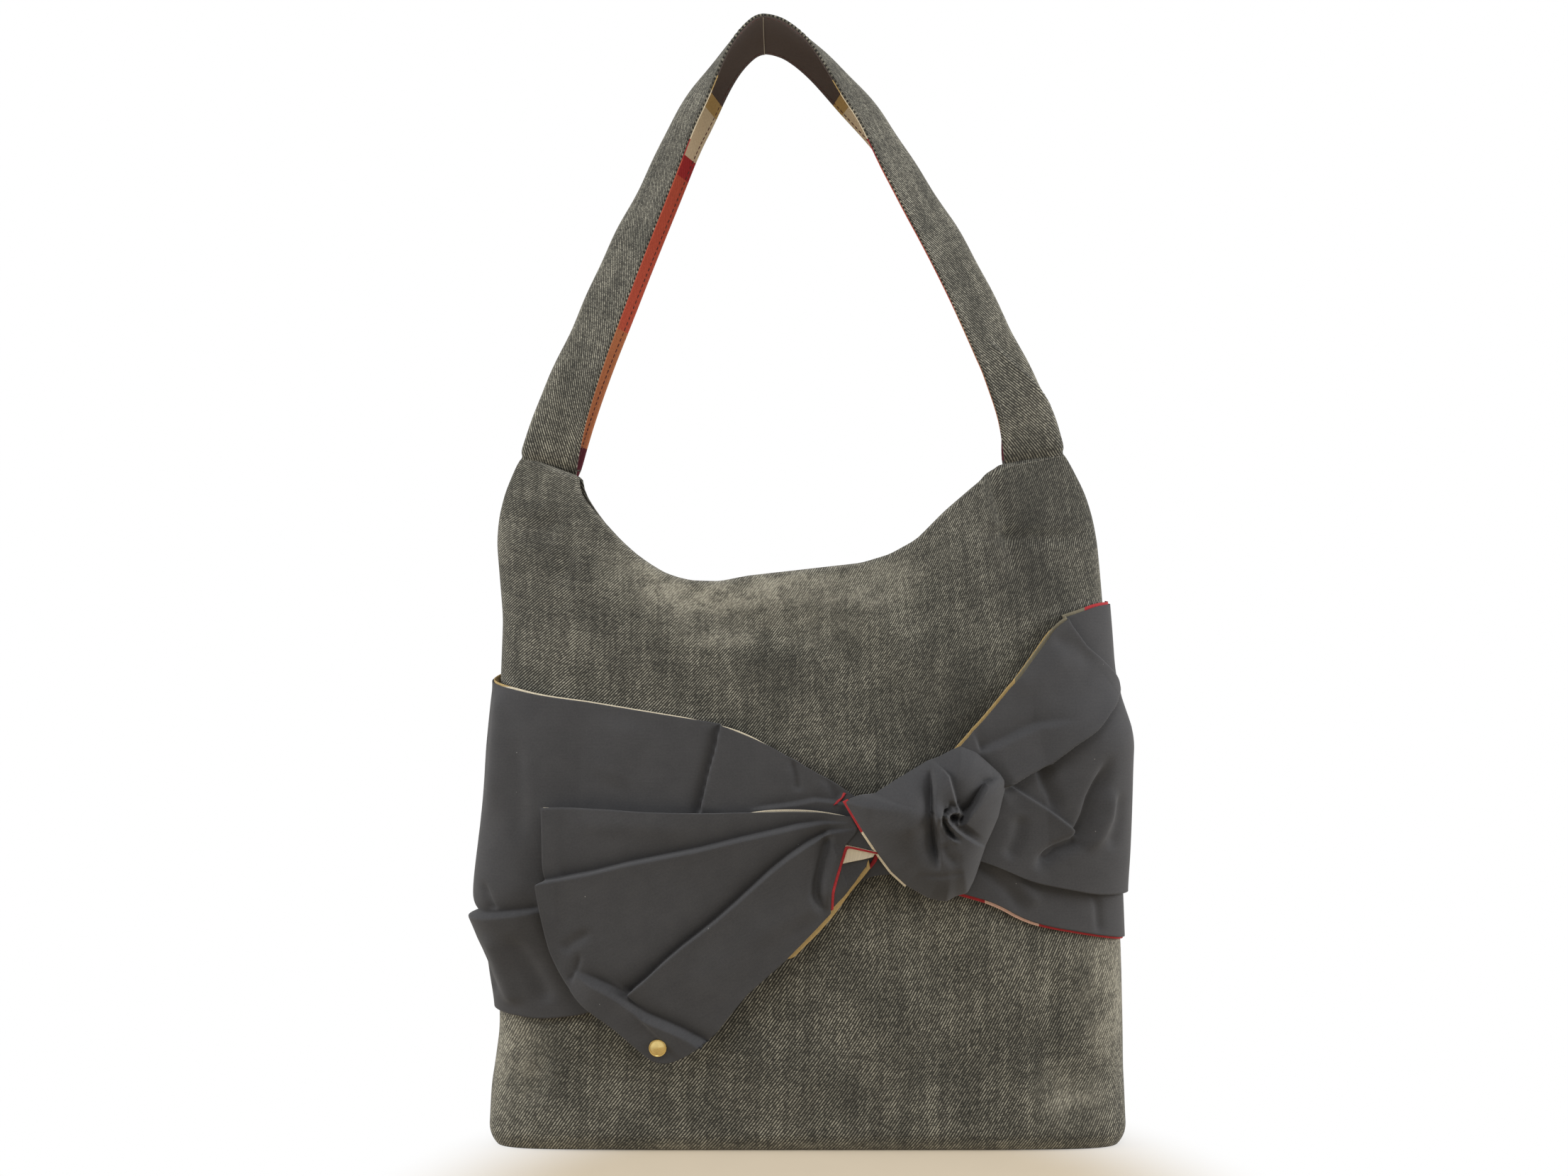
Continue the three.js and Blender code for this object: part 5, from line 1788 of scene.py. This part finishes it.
TAIL_FOLDS = (
    (lap, TAIL_FOLD_A + ((-150, 150.5),), 3.4, 3.6, (26, 6), 0.6, (0.2, 0.06)),
    (lap, TAIL_FOLD_B[:-1], 3.6, 3.8, (26, 4.6), 0.6, (0.16, 0.02)),
    (lap, TAIL_FOLD_TIP, 4.2, 4.4, (24, 4.6), 0.5, (0.04, 0.22)),
    (ridge, ((11, 183.6), (7.6, 175), (5.2, 165), (3.4, 155), (3.2, 148), (5.2, 142), (9, 135)),
     -4.8, 2.8, (0.15, 0.25)),
    (ridge, ((17, 175.5), (13, 165), (10, 154), (10, 144)), 1.4, 3.0, (0.2, 0.2)),
    (ridge, ((-120, 116.5), (-123.5, 107.5), (-127, 98.5)), -1.8, 1.8, (0.4, 0.2)),
    (ridge, ((-131, 115.5), (-124, 121.5), (-112, 128.5)), -1.6, 3.0, (0.2, 0.4)),
    (ridge, ((-130, 186), (-95, 186), (-58, 184)), 0.8, 6),
    (ridge, ((-70, 88), (-40, 110), (-8, 140)), 1.2, 12),
)


def tail_lift(x, z):
    """How far the tail stands off the front, with its lapping folds."""
    on_band = ease((z - soft_line(LEFT_BOTTOM, x)) / 12 + 0.5)
    lift = TAIL_LIFT + (TAIL_ROOT_LIFT - TAIL_LIFT) * ease((x + 5) / 30)
    lift += (left_base(x, z) - SASH_LIFT) * on_band
    lift += 2.0 * ease((-20 - x) / 90)
    return folded(x, z, TAIL_FOLDS, lift)


def tail_surface(x, z, raised):
    return front_point(x, z, tail_lift(x, z) + raised)


def tail_place(raised):
    def place(u, v):
        x, z = tail_spot(u, tail_rows(v)).T
        return tail_surface(x, z, raised)

    return place


BACKING_LOW = (
    (32.4, 162), (28, 155.6), (21.6, 147.4), (13.9, 136.6), (3.2, 124.8), (-4, 118), (-10.6, 110.8),
    (-15.6, 113), (-35.2, 94), (-56.8, 68),
)
BACKING_TOP = (
    (28, 189), (18.5, 191.2), (9, 193.2), (-0.3, 194.3), (-14.8, 194.5), (-25, 193.8), (-35, 191.8),
    (-85, 192), (-137.2, 193.4),
)


def backing_place(u, v):
    """The tail's lining, which shows past the face cloth along the lower edge and at the root."""
    low = guide(BACKING_LOW, u)
    flat = low + (guide(BACKING_TOP, u) - low) * v[:, None]
    first, last = np.array(BACKING_LOW[-1]), np.array(BACKING_TOP[-1])
    straight = first + (last - first) * v[:, None]
    x, z = (flat + (guide(TAIL_END, v) - straight) * (u**3)[:, None] * 0.995).T
    return tail_surface(x, z, 0.5)


def backing_weave(u, v, spots):
    return np.stack([4 + 0.72 * (195 - spots[:, 2]), u * 170], axis=-1)


# Turned-under layers that show where the tail's face opens beside the knot, as pairs of guide lines

INNER_LINES = (
    ((12.4, 140), (18, 146), (24, 154), (29.6, 163.4)),
    ((13.6, 159.4), (18, 166.4), (25, 168.6), (33, 169.4)),
)
FOLD_LINES = (
    ((16.6, 164.8), (23, 166), (28, 167), (33.6, 168.6)),
    ((17.6, 175.4), (23, 174.2), (28, 173), (36, 171.2)),
)
ROOT_LINES = (
    ((7, 172), (18.6, 175.8), (26, 174), (36, 171.4)),
    ((6, 184), (16, 185), (24, 186), (29, 183)),
)
EDGE_LINES = (
    ((11.2, 138.4), (11.2, 149.4), (14, 159.4), (17, 168.4), (19, 175), (26, 173.4), (36, 171)),
    ((12.5, 139), (12.8, 149.4), (15.6, 159.4), (18.4, 167.8), (20.2, 173.6), (26, 172.2), (36, 170)),
)
BAND_EDGE_LINES = (
    ((38.4, 170.6), (36.2, 165.2), (33.4, 161.6), (29.4, 158.4)),
    ((36, 170.6), (34.4, 166.2), (32, 162.6), (28.6, 159.4)),
)
CORNER_LINES = (
    ((13.4, 196.6), (17.8, 199), (20.4, 203)),
    ((14.6, 198), (18.2, 200.6), (19.4, 203.4)),
)


def over_tail(raised, hollow=0.0):
    """A lift a little off the tail's own, sunk in the middle of the strip."""

    def lift(x, z, v):
        return tail_lift(x, z) + raised - hollow * np.sin(np.pi * v)

    return lift


def over_band(x, z, v):
    return left_lift(x, z) + UNDER_FACE + 1.6 - 0.4 * v


def make_tail():
    """The pleated tail, its lining and the turned-under layers beside the knot."""
    weave = slanted_weave(TAIL_SLANT)
    face = lay_cotton("cotton_tail", TAIL_GRID, tail_place(TAIL_FACE_LIFT), weave)
    place = strip_place(*EDGE_LINES, over_tail(TAIL_FACE_LIFT - 0.2))
    edge = lay_trim("backing_tail_edge", TAIL_EDGE_GRID, place, run_weave(112, 126, 55))
    declare(
        face, ["sash_tail"], None
    )
    back = lay_backing("backing_tail", TAIL_GRID, backing_place, backing_weave)
    place = strip_place(*FOLD_LINES, over_tail(1.9, 0.5))
    fold = lay_trim("backing_tail_fold", TAIL_FOLD_GRID, place, run_weave(2, 20, 18))
    declare(
        back, ["sash_tail_lining"], None
    )
    place = strip_place(*INNER_LINES, over_tail(1.4, 0.4))
    inner = lay_cotton("cotton_tail_inner", TAIL_INNER_GRID, place, weave)
    place = strip_place(*ROOT_LINES, over_tail(TAIL_FACE_LIFT - 0.6))
    root = lay_cotton("cotton_tail_root", TAIL_ROOT_GRID, place, weave)
    declare(inner, [], None)
    for piece in (face, edge, back, fold, inner, root):
        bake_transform(piece)
    for name, lines in (("backing_left_edge", BAND_EDGE_LINES), ("backing_left_corner", CORNER_LINES)):
        lay_trim(name, BAND_EDGE_GRID, strip_place(*lines, over_band), run_weave(112, 126, 14), "bag")


# Stud: profiles as (share of the radius, height in metres)

STUD_PLACE = (-79.6, 63.8)
STUD_STEPS = 48
STUD_REACH = 3.0
STUD_PROFILE = (
    (0.26, -0.0030), (0.26, 0.0002), (0.93, 0.0002), (1, 0.0004), (1, 0.0009), (0.97, 0.00115),
    (0.88, 0.00115), (0.84, 0.00095), (0.78, 0.00105), (0.6, 0.0017), (0.4, 0.0021), (0.2, 0.0023),
    (0.04, 0.00235),
)
DISC_PROFILE = (
    (0.3, -0.0028), (0.8, -0.0028), (0.88, -0.0031), (0.88, -0.0036), (0.8, -0.0038), (0.1, -0.0038),
)


def stud_frame():
    """The stud's seat on the tail, with its axis along the local z, in metres."""
    x, z = STUD_PLACE
    step = STUD_REACH
    spots = np.array([[x, z], [x + step, z], [x - step, z], [x, z + step], [x, z - step]])
    seat, right, left, high, low = tail_surface(spots[:, 0], spots[:, 1], TAIL_FACE_LIFT)
    outwards = np.cross(right - left, high - low)
    outwards /= np.linalg.norm(outwards)
    if outwards[1] > 0:
        outwards = -outwards
    turn = Vector(outwards).to_track_quat("Z", "Y").to_matrix().to_4x4()
    return Matrix.Translation(Vector(seat * MM)) @ turn


def turned(name, profile, matrix):
    """A turned fitting: a bent line of (radius, height) in metres spun about its axis."""
    deselect()
    bpy.ops.mesh.primitive_circle_add(vertices=STUD_STEPS, radius=profile[0][0])
    piece = bpy.context.object
    piece.name = name
    piece.data.name = name
    bpy.ops.object.mode_set(mode="EDIT")
    bpy.ops.mesh.select_all(action="SELECT")
    bpy.ops.transform.translate(value=(0, 0, profile[0][1]))
    for (from_radius, from_height), (radius, height) in zip(profile[:-1], profile[1:]):
        bpy.ops.mesh.extrude_region_move(TRANSFORM_OT_translate={"value": (0, 0, height - from_height)})
        share = radius / from_radius
        bpy.ops.transform.resize(value=(share, share, 1), center_override=(0, 0, height))
    bpy.ops.mesh.select_all(action="SELECT")
    bpy.ops.mesh.remove_doubles(threshold=1e-7)
    bpy.ops.mesh.fill_holes(sides=0)
    bpy.ops.mesh.normals_make_consistent(inside=False)
    bpy.ops.object.mode_set(mode="OBJECT")
    piece.data.transform(matrix)
    bpy.ops.object.shade_smooth_by_angle(angle=np.radians(35))
    return piece


def make_stud():
    """The gold stud through the tail's tip and its back disc."""
    radius = sizes().stud
    seat = stud_frame()
    for name, profile, node in (
        ("stud_gold", STUD_PROFILE, "stud_cap"),
        ("stud_disc", DISC_PROFILE, "stud_back"),
    ):
        piece = turned(name, [(radius * share, height) for share, height in profile], seat)
        paint(piece, MATERIALS["brass"])
        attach(piece, "tail")
        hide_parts(node)


# Stage

CAMERA_PLACE = (-0.013, -0.800, 0.318)
CAMERA_LENS = 1883 / 2212 * 36
FLOOR_SIZE = 8.0
FLOOR_DROP = 0.0003
LIGHT_AIM = (0, 0, 0.3)
ABOVE_LIGHT = (-0.1, -1.0, 1.9)
ABOVE_LIGHT_SIZE = 1.0
SIDE_LIGHT = (1.6, -0.36, 0.7)
SIDE_LIGHT_SIZE = 0.9
RIGHT_LIGHT_SHARE = 1.2
FADE_CENTRE = (0.008, -0.15, 0.0)
FADE_REACH = (0.2, 0.17, 1.0)
FADE_NEAR = 0.75
FADE_FAR = 1.3


def white_when_seen(tree, light, white):
    """Mixes a plain white for camera, glossy and transmitted rays into a background or surface."""
    path = tree.nodes.new("ShaderNodeLightPath")
    seen = path.outputs["Is Camera Ray"]
    for other in ("Is Glossy Ray", "Is Transmission Ray"):
        both = tree.nodes.new("ShaderNodeMath")
        both.operation = "MAXIMUM"
        tree.links.new(seen, both.inputs[0])
        tree.links.new(path.outputs[other], both.inputs[1])
        seen = both.outputs[0]
    mix = tree.nodes.new("ShaderNodeMixShader")
    tree.links.new(light, mix.inputs[1])
    tree.links.new(white, mix.inputs[2])
    return mix, seen


def make_floor(settings):
    """A pale floor that keeps the bag's shadow near it and fades into the white all round."""
    deselect()
    bpy.ops.mesh.primitive_plane_add(size=FLOOR_SIZE, location=(0, 0, -FLOOR_DROP))
    floor = bpy.context.object
    floor.name = "floor"
    finish = Finish("Pale floor", Roughness=0.8)
    finish.specular(0.1)
    place = finish.node("TexCoord")[3]
    mottle = finish.noise(place, 40.0, 4.0)
    warm = opaque(settings.floor)
    pale = opaque(tuple(min(1.0, 1.04 * part) for part in settings.floor))
    finish.colour(finish.mix(mottle, warm, pale))
    from_centre = finish.node("VectorMath", {0: place, 1: FADE_CENTRE}, operation="SUBTRACT")[0]
    from_centre = finish.node("VectorMath", {0: from_centre, 1: FADE_REACH}, operation="DIVIDE")[0]
    away = finish.node("VectorMath", {0: from_centre}, operation="LENGTH")[1]
    faded = finish.spread(away, FADE_NEAR, FADE_FAR)
    white = finish.node("Emission", {"Color": (1, 1, 1, 1), "Strength": 1.0})[0]
    mix, seen = white_when_seen(finish.tree, finish.shader.outputs[0], white)
    share = finish.math("MULTIPLY", seen, faded)
    finish.tree.links.new(share, mix.inputs[0])
    output = finish.tree.nodes["Material Output"]
    finish.tree.links.new(mix.outputs[0], output.inputs["Surface"])
    paint(floor, finish.material)


def make_world(settings):
    world = bpy.data.worlds.new("Studio")
    bpy.context.scene.world = world
    world.use_nodes = True
    tree = world.node_tree
    fill = tree.nodes["Background"]
    fill.inputs["Color"].default_value = (1.0, 0.99, 0.97, 1.0)
    fill.inputs["Strength"].default_value = settings.sky
    white = tree.nodes.new("ShaderNodeBackground")
    white.inputs["Color"].default_value = (1, 1, 1, 1)
    white.inputs["Strength"].default_value = 1.0
    mix, seen = white_when_seen(tree, fill.outputs[0], white.outputs[0])
    tree.links.new(seen, mix.inputs[0])
    tree.links.new(mix.outputs[0], tree.nodes["World Output"].inputs["Surface"])


def add_light(name, place, aim, size, power):
    deselect()
    bpy.ops.object.light_add(type="AREA", location=place)
    lamp = bpy.context.object
    lamp.name = name
    lamp.data.shape = "DISK"
    lamp.data.size = size
    lamp.data.energy = power
    lamp.rotation_euler = (Vector(aim) - Vector(place)).to_track_quat("-Z", "Y").to_euler()


def make_camera():
    deselect()
    bpy.ops.object.camera_add(location=CAMERA_PLACE, rotation=(np.pi / 2, 0, 0))
    camera = bpy.context.object
    camera.data.sensor_width = 36
    camera.data.lens = CAMERA_LENS
    camera.data.clip_start = 0.01
    bpy.context.scene.camera = camera


# Operators


class PieceMaker:
    """Shared by the operators: runs the maker that a class names."""

    bl_options = {"REGISTER", "UNDO"}

    def execute(self, context):
        self.make(context)
        return {"FINISHED"}


class OBJECT_OT_bag_stage(PieceMaker, bpy.types.Operator):
    """Makes the floor, the light and the camera"""

    bl_idname = "object.bag_stage"
    bl_label = "Stage"

    def make(self, context):
        settings = context.scene.bag_stage
        context.scene.view_settings.view_transform = "Standard"
        make_camera()
        make_floor(settings)
        make_world(settings)
        add_light("Light above", ABOVE_LIGHT, LIGHT_AIM, ABOVE_LIGHT_SIZE, settings.key)
        away, *rest = SIDE_LIGHT
        for name, side, share in (("left", LEFT, 1.0), ("right", RIGHT, RIGHT_LIGHT_SHARE)):
            place = (side * away, *rest)
            add_light(f"Light at the {name}", place, LIGHT_AIM, SIDE_LIGHT_SIZE, share * settings.side)


class OBJECT_OT_bag_finishes(PieceMaker, bpy.types.Operator):
    """Makes the cloth, metal, board and thread finishes"""

    bl_idname = "object.bag_finishes"
    bl_label = "Finishes"

    def make(self, context):
        look = looks()
        MATERIALS["denim"] = denim_finish(look)
        MATERIALS["cotton"] = cotton_finish(look)
        body = (
            (0.0, look.tan), (0.3, look.cream), (0.36, look.red), (0.42, look.cream), (0.48, look.olive),
            (0.7, look.brown), (0.78, look.tan),
        )
        MATERIALS["lining"] = lining_finish("Tan striped lining", body, BODY_REPEAT)
        sash = (
            (0.0, look.cream), (0.12, look.tan), (0.38, look.olive), (0.56, look.red),
            (0.68, look.pink), (0.84, look.red),
        )
        MATERIALS["sash_lining"] = lining_finish("Striped sash lining", sash, SASH_REPEAT)
        strap = (
            (0.0, look.burgundy), (0.055, look.orange), (0.3, look.coral), (0.6, look.red),
            (0.64, look.cream), (0.735, look.tan), (0.765, look.brown),
        )
        MATERIALS["strap_lining"] = lining_finish("Red striped strap lining", strap, STRAP_REPEAT)
        MATERIALS["brass"] = metal_finish("Pale gold", look.brass, BRASS_ROUGHNESS)
        MATERIALS["steel"] = metal_finish("Plated steel", look.steel, STEEL_ROUGHNESS)
        MATERIALS["board"] = board_finish(look.board)
        for key, name in THREADS:
            MATERIALS[key] = thread_finish(name, getattr(look, key))


class OBJECT_OT_bag_body(PieceMaker, bpy.types.Operator):
    """Lays the denim halves with their facings and linings"""

    bl_idname = "object.bag_body"
    bl_label = "Body"

    def make(self, context):
        make_body()


class OBJECT_OT_bag_base(PieceMaker, bpy.types.Operator):
    """Lays the bottom and its lining, and finishes the board"""

    bl_idname = "object.bag_base"
    bl_label = "Base"

    def make(self, context):
        make_base()


class OBJECT_OT_bag_snap(PieceMaker, bpy.types.Operator):
    """Finishes the magnetic snap"""

    bl_idname = "object.bag_snap"
    bl_label = "Snap"

    def make(self, context):
        make_snap()


class OBJECT_OT_bag_strap(PieceMaker, bpy.types.Operator):
    """Lays the strap's denim and lining and sews its edges"""

    bl_idname = "object.bag_strap"
    bl_label = "Strap"

    def make(self, context):
        make_strap()
        make_stitches()


class OBJECT_OT_bag_sash(PieceMaker, bpy.types.Operator):
    """Lays the bands of the sash"""

    bl_idname = "object.bag_sash"
    bl_label = "Sash bands"

    def make(self, context):
        make_bands()


class OBJECT_OT_bag_knot(PieceMaker, bpy.types.Operator):
    """Wraps the knot"""

    bl_idname = "object.bag_knot"
    bl_label = "Knot"

    def make(self, context):
        make_knot()


class OBJECT_OT_bag_tail(PieceMaker, bpy.types.Operator):
    """Folds the tail of the sash and sets its stud"""

    bl_idname = "object.bag_tail"
    bl_label = "Tail and stud"

    def make(self, context):
        make_tail()
        make_stud()


STEPS = (
    OBJECT_OT_bag_stage,
    OBJECT_OT_bag_finishes,
    OBJECT_OT_bag_body,
    OBJECT_OT_bag_base,
    OBJECT_OT_bag_snap,
    OBJECT_OT_bag_strap,
    OBJECT_OT_bag_sash,
    OBJECT_OT_bag_knot,
    OBJECT_OT_bag_tail,
)


class VIEW3D_PT_bag(bpy.types.Panel):
    """Lists the steps that dress the bag and the settings they use"""

    bl_idname = "VIEW3D_PT_bag"
    bl_label = "Sash Shoulder Bag"
    bl_space_type = "VIEW_3D"
    bl_region_type = "UI"
    bl_category = "Sash Bag"

    def draw(self, context):
        column = self.layout.column(align=True)
        for step in STEPS:
            column.operator(step.bl_idname)
        for group in (context.scene.bag_sizes, context.scene.bag_looks, context.scene.bag_stage):
            box = self.layout.box()
            for name in group.__annotations__:
                box.prop(group, name)


GROUPS = (("bag_sizes", BagSizes), ("bag_looks", BagLooks), ("bag_stage", BagStage))


def register():
    for name, group in GROUPS:
        bpy.utils.register_class(group)
        setattr(bpy.types.Scene, name, PointerProperty(type=group))
    for step in STEPS:
        bpy.utils.register_class(step)
    bpy.utils.register_class(VIEW3D_PT_bag)


def unregister():
    bpy.utils.unregister_class(VIEW3D_PT_bag)
    for step in reversed(STEPS):
        bpy.utils.unregister_class(step)
    for name, group in reversed(GROUPS):
        delattr(bpy.types.Scene, name)
        bpy.utils.unregister_class(group)


def main():
    register()
    bpy.ops.object.bag_stage()
    bpy.ops.object.bag_finishes()
    bpy.ops.object.bag_body()
    bpy.ops.object.bag_base()
    bpy.ops.object.bag_snap()
    bpy.ops.object.bag_strap()
    bpy.ops.object.bag_sash()
    bpy.ops.object.bag_knot()
    bpy.ops.object.bag_tail()


if __name__ == "__main__":
    main()
